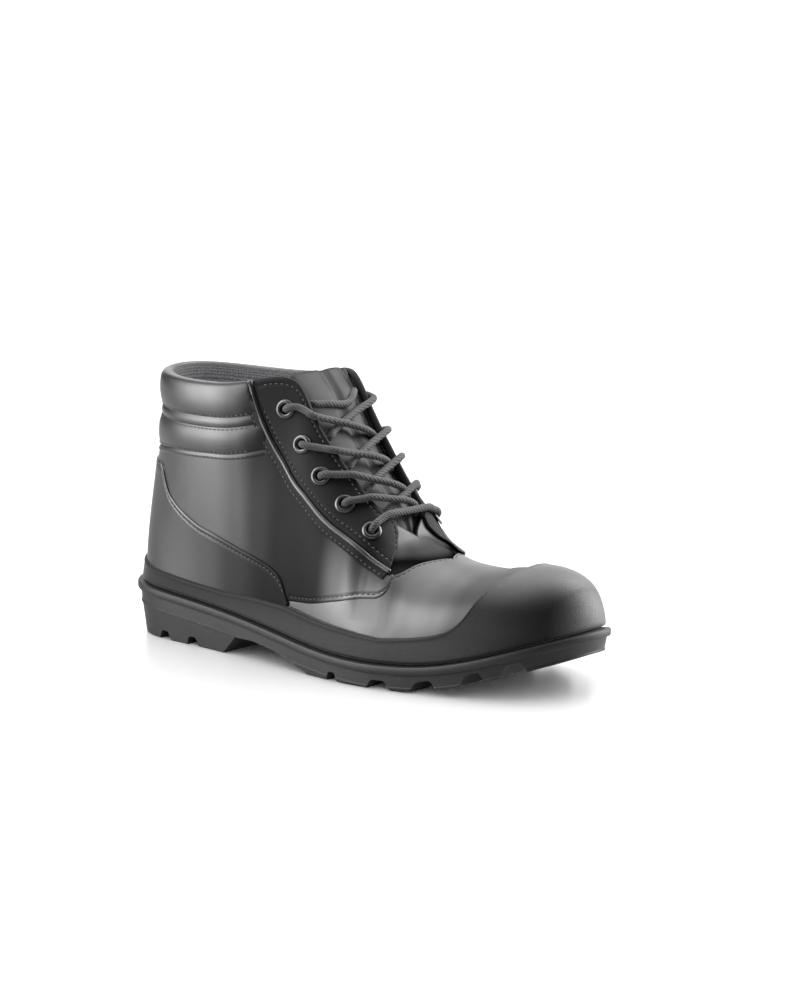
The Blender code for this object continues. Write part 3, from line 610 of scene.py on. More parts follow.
def stitchRow(mesh, path, normals):
    # small stitches along a line, each a stretched bead
    run = runAlong(path)
    count = max(1, int(run[-1] / stitch["pitch"]))

    def lookUp(rows, at):
        return np.array([np.interp(at, run, rows[:, axis]) for axis in range(3)])

    for at in (np.arange(count) + 0.5) * run[-1] / count:
        along = unit(lookUp(path, at + 0.6) - lookUp(path, at - 0.6))
        side = unit(np.cross(lookUp(normals, at), along))
        wide = stitch["radius"] * mm
        axes = (along * 0.5 * stitch["length"] * mm, side * wide, np.cross(along, side) * wide)
        turned = Matrix(axes).transposed().to_4x4()
        turned.translation = Vector(toMetres(lookUp(path, at)))
        bmesh.ops.create_icosphere(mesh, subdivisions=1, radius=1.0, matrix=turned)


def sewLine(stations, heights, out):
    # a line on the last and the way out of the leather along it
    path = onLast(stations, heights, out)
    return path, onLast(stations, heights, out + 1.0) - path


def buildStitches(name, *lines):
    mesh = bmesh.new()
    for path, normals in lines:
        stitchRow(mesh, path, normals)
    finishPiece(name, mesh, [thread], weld=False)


# where the panels meet: (section number, mm up from the sole)
randTop = ((0, 14.5), (0.8, 13.0), (1.3, 10.8), (2.6, 10.2), (3.4, 10.8), (4.35, 13.8), (5.4, 16.0),
           (7.7, 14.8), (10.2, 13.0), (11.1, 14.0), (11.9, 15.2), (12.27, 16.6), (12.56, 20.0),
           (12.74, 25.0), (12.87, 30.0), (13.2, 35.5), (13.6, 40.2), (14.3, 45.6), (15.0, 48.8),
           (16.0, 50.0))
counterTop = ((0, 73.0), (1.6, 72.0), (1.8, 58.0), (2.2, 50.0), (2.65, 44.0), (3.2, 41.0), (3.8, 38.0),
              (4.7, 34.0), (5.1, 30.0), (5.3, 24.0), (5.4, 16.5))
quarterFoot = ((5.4, 18.5), (6.4, 22.0), (7.3, 26.5), (8.0, 29.0), (8.8, 31.2), (9.5, 32.3), (9.72, 33.4),
               (9.88, 35.2), (9.96, 37.6), (10.0, 40.5), (10.02, 43.4))
pipingLine = ((4.05, 134.0), (4.1, 129.5), (4.15, 125.0), (4.3, 114.5), (4.7, 97.5), (5.1, 88.3), (5.4, 83.6),
              (6.1, 77.6), (6.9, 68.6), (7.4, 64.2), (8.0, 60.0), (9.0, 53.5), (9.8, 48.6))
# (section number, mm down from the collar or throat edge)
collarDepth = ((0, 46.0), (1, 44.0), (2, 40.5), (3, 39.5), (5, 40.0))
eyestayTop = ((0, 0.0), (9.1, 0.0), (9.5, 7.5), (9.8, 18.0))
eyelets = ((4.88, 16.0), (5.70, 21.8), (6.60, 18.5), (7.47, 15.0), (8.62, 13.5))
eyeletHole = 3.3             # mm, radius opened in the leather


def sideStations(first, end, side, step):
    stations = stationsBetween(first, end, step)
    return stations if side > 0 else (turn - stations)[::-1]


# camera and light

view = {
    "place": (1055.0, -1061.9, 317.3),     # mm in the last's own frame
    "target": (164.24, 15.38, 88.97),
    "lens": 94.6,
}


def buildCamera():
    camera = bpy.data.objects.new("camera", bpy.data.cameras.new("camera"))
    bpy.context.scene.collection.objects.link(camera)
    camera.data.lens = view["lens"]
    camera.data.sensor_width = 36.0
    place = Vector(toMetres(view["place"]))
    aim = Vector(toMetres(view["target"])) - place
    camera.location = place
    camera.rotation_euler = aim.to_track_quat("-Z", "Y").to_euler()
    camera.data.clip_start = 0.05
    bpy.context.scene.camera = camera


studio = {
    # name: (azimuth, height in m, distance in m, width, length, watts)
    "side softbox": (-38.0, 0.62, 1.20, 0.95, 1.4, 64.0),
    "back softbox": (-140.0, 0.55, 1.15, 1.2, 1.0, 7.0),
    "rim softbox": (150.0, 0.60, 1.15, 0.9, 1.25, 48.0),
    "overhead softbox": (-155.0, 1.30, 0.30, 1.7, 1.6, 40.0),
}
surround = {
    "paper": 1.6,            # white sweep, bright enough to burn out as in the photo
    "dark": 0.10,            # black flags round the boot, seen in its shine
    "near": 0.8,             # m from the boot to the edge of the floor
    "far": 30.0,
}


def buildSheet(name, material, half, level):
    ground = bmesh.new()
    bmesh.ops.create_grid(ground, x_segments=1, y_segments=1, size=half)
    bmesh.ops.translate(ground, verts=ground.verts, vec=(0.0, 0.0, level))
    data = bpy.data.meshes.new(name)
    ground.to_mesh(data)
    ground.free()
    data.materials.append(material)
    sheet = bpy.data.objects.new(name, data)
    bpy.context.scene.collection.objects.link(sheet)
    return sheet


def buildStudio():
    for name, row in studio.items():
        azimuth, height, away, wide, long, watts = row
        lamp = bpy.data.objects.new(name, bpy.data.lights.new(name, "AREA"))
        bpy.context.scene.collection.objects.link(lamp)
        lamp.data.shape = "RECTANGLE"
        lamp.data.size = wide
        lamp.data.size_y = long
        lamp.data.energy = watts
        lamp.visible_diffuse = False     # shine only: the white paper round the set gives the even light
        turned = math.radians(azimuth)
        lamp.location = (away * math.sin(turned), -away * math.cos(turned), height)
        aim = Vector((0.0, 0.0, 0.08)) - lamp.location
        lamp.rotation_euler = aim.to_track_quat("-Z", "Y").to_euler()
    world = bpy.data.worlds.new("studio")
    bpy.context.scene.world = world
    world.use_nodes = True
    tree = world.node_tree
    back = tree.nodes["Background"]
    rays = addNode(tree, "ShaderNodeLightPath")
    strength = addNode(tree, "ShaderNodeMapRange", None,
                       {"Value": rays.outputs["Is Glossy Ray"],
                        "To Min": surround["paper"], "To Max": surround["dark"]})
    tree.links.new(strength.outputs["Result"], back.inputs["Strength"])
    back.inputs["Color"].default_value = (1.0, 1.0, 1.0, 1.0)
    world.cycles.sampling_method = "NONE"
    bpy.context.scene.view_settings.view_transform = "Standard"
    # white acrylic sheet: pale and even, its soft gloss throws the softbox up at the sides of the boot
    sheet = newMaterial("white acrylic", Base_Color=linear("#fbfbfb"), Roughness=0.3)[0]
    floor = buildSheet("floor", sheet, surround["near"], 0.0)
    beyond = buildSheet("far floor", sheet, surround["far"], -0.001)
    beyond.visible_camera = False        # only lights the boot, so no horizon cuts the white ground
    print("camera and studio ready")


buildCamera()
buildStudio()


# sole

sole = {
    "wallOut": 6.0,
    "lipHeight": 4.5,
    "ledgeDrop": 7.5,        # line round the side below the lip
    "lugDepth": 5.0,
    "spineHalf": 9.0,
    "tread": ((-2.5, 2.5), (2.0, 0.0), (73.9, 0.0), (83.0, 5.0), (92.0, 13.5), (102.5, 25.0)),
    "bottomOut": ((0, 1.5), (1, 3.0), (2, 4.5), (4, 5.0), (13, 5.0), (15, 4.0), (16, 3.5)),
    "arch": ((27.6, -1.0), (27.8, 0.0), (31.8, 11.0), (37.0, 11.0), (43.0, 8.6), (48.0, 4.8), (51.6, 1.2),
             (52.2, -1.0)),
    "grooves": ((11.2, 9.0), (19.1, 9.0), (58.8, 7.0), (69.3, 13.0), (78.2, 13.0), (87.2, 11.0),
                (93.9, 10.0)),
    "sharp": 32.0,           # degrees
}


def prism(mesh, profile, first, end):
    # side-view polygon carried across the sole
    corners = [mesh.verts.new(toMetres((x, first, z))) for x, z in profile]
    face = mesh.faces.new(corners)
    made = bmesh.ops.extrude_face_region(mesh, geom=[face])
    moved = [item for item in made["geom"] if isinstance(item, bmesh.types.BMVert)]
    bmesh.ops.translate(mesh, vec=(0.0, (end - first) * mm, 0.0), verts=moved)


def buildOutsole():
    stations = np.linspace(0.0, turn, 257)
    side = near(stations)
    foot = outline(stations, 0.0)
    out = straight(sole["bottomOut"], side)
    edge = outline(stations, out)
    floor = np.maximum(straight(sole["tread"], edge[:, 0] / percent), 0.0)
    lip = last["lipOut"]
    under = foot[:, 2] - sole["lipHeight"]
    mirror = outline(turn - stations, 0.0)
    spine = 0.5 * (foot[:, 0] + mirror[:, 0])
    spineFloor = np.maximum(straight(sole["tread"], spine / percent), 0.0)

    def level(push, height):
        ring = outline(stations, push)
        return np.column_stack([ring[:, :2], height])

    def middle(share, height):
        flat = np.column_stack([spine, alongFoot(middleLine, spine)])
        return np.column_stack([edge[:, :2] * (1.0 - share) + flat * share, height])

    ledge = under - sole["ledgeDrop"]
    atLedge = out + (sole["wallOut"] - out) * np.clip((ledge - floor) / (under - floor), 0.0, 1.0)
    # from the middle of the tread out, up the wall, over the lip and back to the middle
    rings = [middle(1.0, spineFloor), middle(0.5, 0.5 * (floor + spineFloor)), level(out - 0.8, floor),
             level(out, floor + 0.7), level(atLedge - 0.1, ledge - 0.5), level(atLedge + 0.55, ledge),
             level(atLedge + 0.55, ledge + 0.6), level(atLedge + 0.2, ledge + 1.0),
             level(sole["wallOut"] - 0.5, under - 0.5), level(sole["wallOut"] + 0.2, under),
             level(lip - 0.4, under + 0.25), level(lip, under + 0.9), level(lip + 0.05, under + 2.2),
             level(lip, foot[:, 2] - 0.9), level(lip - 0.4, foot[:, 2] - 0.2), level(lip - 1.0, foot[:, 2]),
             level(-4.0, foot[:, 2]),
             np.column_stack([spine, alongFoot(middleLine, spine), foot[:, 2]])]
    mesh = gridMesh(np.stack(rings, axis=1))
    bmesh.ops.remove_doubles(mesh, verts=mesh.verts, dist=weldGap)
    bmesh.ops.recalc_face_normals(mesh, faces=mesh.faces)
    cuts = bmesh.new()
    prism(cuts, [(x * percent, z) for x, z in sole["arch"]], -last["ballWidth"], last["ballWidth"])
    for share, mouth in sole["grooves"]:
        x = share * percent
        low = straight(sole["tread"], share)
        lean = (straight(sole["tread"], share + 1.0) - low) / percent
        corners = ((-0.65, -2.0), (0.65, -2.0), (0.36, sole["lugDepth"] - 0.9), (0.24, sole["lugDepth"]),
                   (-0.24, sole["lugDepth"]), (-0.36, sole["lugDepth"] - 0.9))
        profile = [(x + d * mouth, low + z + lean * d * mouth) for d, z in corners]
        middleY = alongFoot(middleLine, x)
        for way in (-1, 1):
            prism(cuts, profile, middleY + way * sole["spineHalf"], way * last["ballWidth"])
    bmesh.ops.recalc_face_normals(cuts, faces=cuts.faces)
    data = bpy.data.meshes.new("tread cutter")
    cuts.to_mesh(data)
    cuts.free()
    cutter = bpy.data.objects.new("tread cutter", data)
    bpy.context.scene.collection.objects.link(cutter)
    piece = finishPiece("cleatedOutsole", mesh, [soleRubber], ["outsole"])
    cut = piece.modifiers.new("tread", "BOOLEAN")
    cut.solver = "EXACT"
    cut.object = cutter
    bpy.context.view_layer.update()
    carved = bpy.data.meshes.new_from_object(piece.evaluated_get(bpy.context.evaluated_depsgraph_get()))
    piece.modifiers.clear()
    piece.data = carved
    carved.shade_smooth()
    carved.set_sharp_from_angle(angle=math.radians(sole["sharp"]))
    bpy.data.objects.remove(cutter)


buildOutsole()


# upper, its lining side and the vamp laid over it

upperBook = {
    "columns": 400,
    "rows": 64,
    "foot": 0.4,             # mm above the sole
    # soft troughs on both sides: two (section, mm up) ends, half width and depth in mm
    "creases": (
        ((9.8, 50.0), (10.3, 66.0), 4.0, -0.5),
        ((11.9, 34.0), (12.2, 62.0), 9.0, -0.25),
        ((4.6, 84.0), (5.6, 52.0), 14.0, -0.3),
    ),
}


def creased(field):
    # moves points of the upper in and out along the creases
    flat = field.reshape(-1, 3)
    move = np.zeros(len(flat))
    for start, end, width, depth in upperBook["creases"]:
        for side in (1, -1):
            a, b = onLast(onSide(np.array([start[0], end[0]]), side), np.array([start[1], end[1]]))
            run = b - a
            share = np.clip((flat - a) @ run / (run @ run), 0.0, 1.0)
            away = np.linalg.norm(flat - a - share[:, None] * run, axis=1)
            move += depth * np.exp(-(away / width) ** 2)
    normal = unit(np.cross(np.gradient(field, axis=0), np.gradient(field, axis=1)))
    return field + normal * move.reshape(field.shape[:2])[..., None]


def buildUpper():
    stations = np.linspace(0.0, turn, upperBook["columns"] + 1)
    rows = np.linspace(0.0, 1.0, upperBook["rows"] + 1)
    foot = upperBook["foot"]
    field = np.stack([onLast(stations, foot + (tallAt(stations) - foot) * row) for row in rows], axis=1)
    field = creased(field)
    field[-1] = field[0]
    mesh = gridMesh(field)
    punchHoles(mesh)
    piece = finishPiece("leatherUpper", mesh, [upperLeather, innerKnit], ["upper"])
    thicken(piece, last["wall"], inner=1)


def eyeletPlace(number, side, out):
    station, drop = eyelets[number]
    station = np.array([onSide(station, side)])
    height = tallAt(station) - drop
    base = onLast(station, height, out)[0]
    return base, unit(onLast(station, height, out + 1.0)[0] - base)


def punchHoles(mesh):
    # open the faces under each eyelet ring
    places = [eyeletPlace(n, side, 1.0)[0] for n in range(len(eyelets)) for side in (1, -1)]
    centres = [Vector(toMetres(place)) for place in places]
    doomed = []
    for face in mesh.faces:
        middle = face.calc_center_median()
        if any((middle - c).length < eyeletHole * mm for c in centres):
            doomed.append(face)
    bmesh.ops.delete(mesh, geom=doomed, context="FACES")


vampBook = {
    "thick": 0.95,
    "stitchIn": 2.9,
    "sewn": (9.95, 11.12),   # sections between which the stitches show
    "rear": 5.3,             # section under the counter where it ends
    # runs back under the quarter, then over the instep
    "seam": ((5.3, 21.5), (6.4, 26.0), (7.3, 30.5), (8.0, 33.0), (8.8, 36.0), (9.2, 40.0), (9.8, 46.0),
             (10.2, 49.2), (10.48, 54.2), (10.68, 60.1), (10.9, 66.6), (11.05, 72.5), (11.12, 76.5)),
}


def buildVamp():
    stations = stationsBetween(vampBook["rear"], turn - vampBook["rear"], 0.08)

    def low(s):
        return np.maximum(straight(randTop, near(s)) - 4.0, 1.0)

    def high(s):
        return np.minimum(eased(vampBook["seam"], near(s), 0.1), tallAt(s))

    thick = vampBook["thick"]
    inset = vampBook["stitchIn"]
    rows = [("low", 0.0, thick)] + openRows(26, thick) + [
        ("high", inset + 1.3, thick), ("high", inset + 0.6, thick), ("high", inset, thick - 0.25),
        ("high", inset - 0.6, thick), ("high", 1.2, thick), ("high", 0.7, thick * 0.95),
        ("high", 0.3, thick * 0.75), ("high", 0.0, thick * 0.35)]
    field = panelField(stations, low, high, rows)
    # along the ridge the two sides meet and the edge rows stay at full height
    crown = high(stations) >= tallAt(stations) - 0.01
    for row, (edge, amount, out) in enumerate(rows):
        if edge == "high":
            full = panelField(stations, low, high, [("low", 0.0, thick), ("high", amount, thick)])[:, 1]
            field[crown, row] = full[crown]
    field = creased(field)
    top = field[crown, -1]
    field[crown, -1] = 0.5 * (top + top[::-1])
    piece = finishPiece("vamp", gridMesh(field), [vampLeather])
    thicken(piece, thick - 0.2)
    lines = [onSide(np.linspace(*vampBook["sewn"], 60), side) for side in (1, -1)]
    buildStitches("vampStitching", *[sewLine(s, high(s) - inset, thick - 0.1) for s in lines])


buildUpper()
buildVamp()


# rubber band with the toe bumper

bandBook = {
    "columns": 400,
    # (mm up from the sole, mm out)
    "thick": ((0.0, 3.0), (2.5, 4.0), (12.0, 2.8), (30.0, 2.2)),
    "gap": 0.65,
    "foot": ((0.0, 0.55), (0.25, 0.85), (0.8, 0.98)),    # (mm above the groove, share of the thickness)
    "turn": 2.5,             # mm up, where the rounded foot ends
    "bead": (0.35, 1.3, 0.9),    # raised line under the top edge: mm out, mm down, half width
    "roll": 1.4,             # mm over which the top edge is rounded
}


def buildBand():
    stations = np.linspace(0.0, turn, bandBook["columns"] + 1)
    high = eased(randTop, near(stations), 0.12)
    gap = bandBook["gap"]
    low = bandBook["turn"]
    proud, down, half = bandBook["bead"]
    field = []
    for lift, keep in bandBook["foot"]:
        height = last["soleGap"] + lift
        field.append(onLast(stations, height, gap + straight(bandBook["thick"], height) * keep))
    for share in np.concatenate([np.linspace(0.0, 0.9, 24), [0.94, 0.965, 0.985, 1.0]]):
        height = low + (high - low) * share
        left = high - height         # mm below the top edge
        bead = proud * np.exp(-((left - down) / half) ** 2)
        edge = np.sqrt(1.0 - (1.0 - np.clip(left / bandBook["roll"], 0.0, 1.0)) ** 2)
        out = gap + straight(bandBook["thick"], height) * (0.3 + 0.7 * edge) + bead
        field.append(onLast(stations, height, out))
    field = np.stack(field, axis=1)
    field[-1] = field[0]
    piece = finishPiece("bumperBand", gridMesh(field), [bandRubber], ["rand"])
    thicken(piece, 1.2)


buildBand()


# heel counter and quarters

counterBook = {"thick": 2.35, "stitchIn": 2.8, "front": 5.4}
quarterBook = {"thick": 1.45, "stitchIn": 2.6, "front": 10.02}


def stitchedEdge(edge, thick, stitchIn):
    # rows down from an edge: rolled lip, flat, stitch trough, flat
    return [(edge, 0.0, thick * 0.45), (edge, 0.25, thick * 0.78), (edge, 0.7, thick * 0.97),
            (edge, 1.3, thick), (edge, stitchIn - 0.65, thick), (edge, stitchIn, thick - 0.3),
            (edge, stitchIn + 0.65, thick), (edge, stitchIn + 2.0, thick)]


def buildCounter():
    thick = counterBook["thick"]
    front = counterBook["front"]
    stations = stationsBetween(-front, front, 0.06)

    def low(s):
        return eased(randTop, near(s), 0.12) - 3.0

    def high(s):
        return np.maximum(eased(counterTop, near(s), 0.14), low(s) + 4.0)

    inset = counterBook["stitchIn"]
    rows = [("low", 0.0, thick)] + openRows(22, thick) + stitchedEdge("high", thick, inset)[::-1]
    mesh = gridMesh(panelField(stations, low, high, rows))
    piece = finishPiece("heelCounter", mesh, [counterLeather], ["counter"])
    thicken(piece, thick - 0.5)
    s = np.linspace(0.15 - front, front - 0.15, 700)
    buildStitches("counterStitching", sewLine(s, high(s) - inset, thick - 0.15))


def buildQuarter(side, word):
    thick = quarterBook["thick"]
    stations = sideStations(0.0, quarterBook["front"], side, 0.05)

    def low(s):
        r = near(s)
        return np.where(r < 5.38, straight(counterTop, r) - 4.0, eased(quarterFoot, r, 0.03))

    def high(s):
        r = near(s)
        collar = tallAt(s) - straight(collarDepth, r) + 2.0
        piping = straight(pipingLine, r) - 0.6
        top = np.where(r < 4.66, np.minimum(collar, piping), piping)
        return np.maximum(top, low(s) + 3.0)

    inset = quarterBook["stitchIn"]
    rows = stitchedEdge("low", thick, inset) + openRows(30, thick) + \
        [("high", 1.0, thick), ("high", 0.0, thick * 0.6)]
    field = creased(panelField(stations, low, high, rows, thinEnd(quarterBook["front"], 0.45)))
    node = "quarter_" + word.lower()
    piece = finishPiece("quarter" + word, gridMesh(field), [quarterLeather], [node])
    thicken(piece, thick - 0.35)
    s = onSide(np.linspace(5.5, quarterBook["front"] - 0.1, 300), side)
    buildStitches("quarterStitching" + word, sewLine(s, low(s) + inset, thick - 0.12))


buildCounter()
for side, word in sides:
    buildQuarter(side, word)


# padded collar of two rolls, and the knit lining inside it

collarBook = {
    "front": 4.5,
    # (mm down from the collar edge, mm out): upper roll, stitched channel, lower roll
    "profile": ((0.0, 1.9), (1.0, 2.6), (3.0, 3.2), (6.5, 3.5), (10.5, 3.4), (14.0, 2.9), (16.4, 2.2),
                (17.6, 1.5), (18.2, 1.05), (18.7, 1.4), (19.6, 1.8), (21.0, 1.95), (22.4, 1.8), (23.2, 1.45),
                (23.7, 1.1), (24.3, 1.55), (25.8, 2.3), (28.2, 2.8), (31.0, 2.9), (34.2, 2.6), (36.8, 1.95),
                (38.1, 1.4), (38.6, 1.05), (39.2, 1.4), (40.0, 1.6), (41.2, 1.6), (42.0, 1.1)),
    # (mm out, mm past the edge): round over the rim
    "rim": ((1.0, 0.75), (-0.3, 1.25), (-1.6, 1.3), (-2.8, 0.9), (-3.5, 0.1), (-3.7, -1.2)),
    "stitches": (17.2, 24.6, 37.6, 40.6),
    "upperRoll": 24.0,       # mm down, the same all round
    "depth": 40.0,           # mm down to the foot of the profile above, stretched to the true depth
}


def collarDrop(stations, drop):
    # below the upper roll the collar is deeper at the heel
    roll = collarBook["upperRoll"]
    stretch = (straight(collarDepth, near(stations)) - roll) / (collarBook["depth"] - roll)
    return np.where(drop > roll, roll + (drop - roll) * stretch, drop)


def collarTop(stations):
    # the collar runs up to the facing's raised cord
    return np.minimum(tallAt(stations), straight(pipingLine, near(stations)) - 1.5)


def buildCollar():
    front = collarBook["front"]
    stations = stationsBetween(-front, front, 0.05)
    top = tallAt(stations)
    field = []
    for row, (drop, out) in enumerate(collarBook["profile"][::-1]):
        # where the cord cuts the collar off, its rows close up to a thin edge
        under = 0.05 * (len(collarBook["profile"]) - row)
        height = np.minimum(top - collarDrop(stations, drop), collarTop(stations) - under)
        fade = np.interp(front - near(stations), (0.0, 0.05, 0.2), (0.5, 0.75, 1.0))
        field.append(onLast(stations, height, 0.6 + (out - 0.6) * fade))
    for out, past in collarBook["rim"]:
        height = np.minimum(top, collarTop(stations))
        field.append(onLast(stations, height, out, past))
    mesh = gridMesh(np.stack(field, axis=1))
    piece = finishPiece("collarRolls", mesh, [softLeather], ["collar"])
    thicken(piece, 0.6)
    s = np.linspace(0.4 - front, front - 0.4, 600)
    lines = [sewLine(s, tallAt(s) - collarDrop(s, drop), straight(collarBook["profile"], drop) + 0.1)
             for drop in collarBook["stitches"]]
    buildStitches("collarStitching", *lines)


liningBook = {
    "front": 4.9,
    "depth": 60.0,           # mm down inside the collar
    "inside": 0.9,           # mm in from the leather
    "puff": (1.4, 12.0, 14.0),    # padding: mm in, mm down, half width
}


def buildLining():
    stations = stationsBetween(-liningBook["front"], liningBook["front"], 0.08, fineEnds=False)
    thick, middle, half = liningBook["puff"]
    field = []
    for drop in np.concatenate([[-0.6, 0.2, 1.2, 3.0], np.linspace(5.0, liningBook["depth"], 20)]):
        puff = thick * math.exp(-((drop - middle) / half) ** 2)
        height = tallAt(stations) - max(drop, 0.0)
        out = -last["wall"] - liningBook["inside"] - puff
        field.append(onLast(stations, height, out, max(-drop, 0.0)))
    piece = finishPiece("collarLining", gridMesh(np.stack(field, axis=1)), [lining])
    thicken(piece, 0.7)


buildCollar()
buildLining()


# eyestays with the raised cord and strip behind them

stayBook = {
    "ends": (4.12, 9.82),    # sections
    "thick": 1.95,
    "stitchIn": 3.0,
    "stitchUp": 5.0,         # mm from the cord's line to the rear stitch row
    "cordRadius": 1.5,
    "stripWide": 5.6,
    "stripStitch": 4.2,
    # (share of the strip's width, mm out)
    "strip": ((0.0, 0.9), (0.04, 1.75), (0.1, 1.95), (0.18, 1.95), (0.25, 1.7), (0.32, 1.95), (1.0, 1.95)),
}


def stayLow(s):
    return straight(pipingLine, near(s)) + 1.0


def stayHigh(s):
    return np.maximum(tallAt(s) - straight(eyestayTop, near(s)), stayLow(s) + 2.5)


def buildEyestay(side, word):
    thick = stayBook["thick"]
    first, front = stayBook["ends"]
    stations = sideStations(first, front, side, 0.045)
    edge = stayBook["stitchIn"]
    rear = stayBook["stitchUp"]
    rows = [("low", 0.0, thick), ("low", rear - 0.6, thick), ("low", rear, thick - 0.3),
            ("low", rear + 0.6, thick), ("low", rear + 2.0, thick)]
    rows += openRows(24, thick)
    rows += [("high", edge + 2.0, thick), ("high", edge + 0.6, thick), ("high", edge, thick - 0.3),
             ("high", edge - 0.6, thick), ("high", 1.0, thick), ("high", 0.3, thick - 0.1),
             ("high", 0.0, thick - 0.5, 0.5), ("high", 0.0, thick - 1.4, 0.9), ("high", 0.0, -1.4, 0.9),
             ("high", 0.0, -2.5, 0.4), ("high", 0.0, -2.6, -1.0)]
    mesh = gridMesh(panelField(stations, stayLow, stayHigh, rows, thinEnd(front, 0.5)))
    punchHoles(mesh)
    piece = finishPiece("eyestay" + word, mesh, [facingLeather], ["eyestay_" + word.lower()])
    thicken(piece, 0.9)
    s = onSide(np.linspace(4.4, 9.7, 260), side)
    t = onSide(np.linspace(4.35, 9.75, 300), side)
    buildStitches("eyestayStitching" + word,
                  sewLine(s, np.minimum(stayLow(s) + rear, stayHigh(s) - 1.0), thick - 0.12),
                  sewLine(t, np.maximum(stayHigh(t) - edge, stayLow(t) + 1.0), thick - 0.12))


def buildPiping(side, word):
    radius = stayBook["cordRadius"]
    stations = onSide(np.linspace(4.06, 9.84, 160), side)
    path = onLast(stations, smoothTable(pipingLine, near(stations)), 0.4 + radius)
    mesh = gridMesh(tubeField(path, radius, 12))
    for face in mesh.faces:
        face.material_index = 1
    # flat strip behind the cord, with its own stitch row
    strip = sideStations(4.02, 9.8, side, 0.06)
    wide = stayBook["stripWide"]
    field = [alongPiping(strip, -wide * (1.0 - share), out) for share, out in stayBook["strip"]]
    gridMesh(np.stack(field, axis=1), mesh)
    node = "piping_" + word.lower()
    finishPiece("piping" + word, mesh, [facingLeather, vampLeather], [node])
    s = onSide(np.linspace(4.1, 9.7, 300), side)
    path = alongPiping(s, -stayBook["stripStitch"], 1.85)
    buildStitches("pipingStitching" + word, (path, alongPiping(s, -stayBook["stripStitch"], 2.85) - path))


def alongPiping(stations, away, out):
    # points beside the cord, a true distance from its line across the leather
    r = near(stations)
    side = np.where(np.mod(stations, turn) < turn / 2, 1.0, -1.0)
    ahead = np.clip(r + 0.03, pipingLine[0][0], pipingLine[-1][0])
    back = np.clip(r - 0.03, pipingLine[0][0], pipingLine[-1][0])

    def place(q, lift):
        return onLast(np.where(side > 0, q, turn - q), smoothTable(pipingLine, q), lift)

    base = place(r, out)
    along = unit(place(ahead, out) - place(back, out))
    normal = unit(place(r, out + 1.0) - base)
    across = np.cross(normal, along) * side[..., None]
    return base + across * away


def tubeField(path, radius, sides):
    # rings round a path, turned with it and joined to a tube with domed ends
    along = unit(np.gradient(path, axis=0))
    dome = ((0.5, 0.0), (0.35, 0.75))    # (radii past the end, share of the radius)
    first = [path[0] - along[0] * radius * past for past, share in dome]
    end = [path[-1] + along[-1] * radius * past for past, share in dome[::-1]]
    path = np.concatenate([first, path, end])
    along = np.concatenate([along[:1], along[:1], along, along[-1:], along[-1:]])
    narrow = [share for past, share in dome]
    shares = np.concatenate([narrow, np.ones(len(path) - 2 * len(dome)), narrow[::-1]])
    normal = np.cross(along[0], up)
    frames = []
    for direction in along:
        normal = unit(normal - direction * (normal @ direction))
        frames.append((normal, np.cross(direction, normal)))
    angles = np.linspace(2.0 * np.pi, 0.0, sides + 1)
    rings = [[p + radius * share * (math.cos(a) * n + math.sin(a) * b) for a in angles]
             for p, share, (n, b) in zip(path, shares, frames)]
    field = np.array(rings)
    field[:, -1] = field[:, 0]
    return field


for side, word in sides:
    buildEyestay(side, word)
    buildPiping(side, word)


# eyelets

eyeletBook = {
    # (radius, mm above the facing)
    "profile": ((2.7, -4.2), (2.7, 0.4), (3.0, 1.0), (3.6, 1.35), (4.3, 1.3), (5.0, 0.9), (5.4, 0.35),
                (5.45, 0.0)),
    "seat": 2.0,             # mm above the last
    "steps": 36,
    "metal": 0.25,
}


def buildEyelets():
    for side, word in sides:
        for number in range(len(eyelets)):
            base, axis = eyeletPlace(number, side, eyeletBook["seat"])
            mesh = bmesh.new()
            points = [mesh.verts.new((r * mm, 0.0, high * mm)) for r, high in eyeletBook["profile"]]
            edges = [mesh.edges.new(pair) for pair in zip(points, points[1:])]
            bmesh.ops.spin(mesh, geom=points + edges, cent=(0, 0, 0), axis=(0, 0, 1),
                           angle=2.0 * math.pi, steps=eyeletBook["steps"], use_merge=True)
            bmesh.ops.remove_doubles(mesh, verts=mesh.verts, dist=0.5 * weldGap)
            bmesh.ops.recalc_face_normals(mesh, faces=mesh.faces)
            turned = Vector(axis).to_track_quat("Z", "X").to_matrix().to_4x4()
            turned.translation = Vector(toMetres(base))
            bmesh.ops.transform(mesh, matrix=turned, verts=mesh.verts)
            name = "eyelet_%s_%d" % (word.lower(), number + 1)
            piece = finishPiece("ring_" + name, mesh, [enamel], [name])
            thicken(piece, eyeletBook["metal"])


buildEyelets()


# tongue

tongueBook = {
    "rows": (11.4, 10.7, 10.0, 9.1, 8.3, 7.5, 6.7, 6.0, 5.4, 5.1),
    "above": 7.0,                     # mm past the top section
    "beside": (16.0, 7.0, 0.5),       # mm down from the throat edge
    "under": (18.0, 11.0, 5.0),       # mm down from the vamp ridge
    "arch": 0.17,
    "thick": 4.5,
    "face": 4.2,                      # mm under the last
    "folds": ((0.02, 1.5), (0.30, 1.5)),   # (share across, depth in mm)
    "foldHalf": 0.03,
    "puff": (0.3, 0.12, 0.07),        # ridge beside a fold: share of its depth, share across, half width
}


def tongueRow(row, offset):
    pair = np.array([row, turn - row])
    top = tallAt(pair)
    drops = tongueBook["under"] if row >= ridge else tongueBook["beside"]
    sides = np.stack([onLast(pair, top - d, offset) for d in drops])
    edges = onLast(pair, top, offset)
    half = 0.5 * np.linalg.norm(edges[0] - edges[1])
    ahead = (onLast(pair, top, offset + 1.0) - edges).mean(axis=0)
    middle = edges.mean(axis=0) + tongueBook["arch"] * half * ahead
    return np.vstack([sides[:, 0], middle, sides[::-1, 1]])


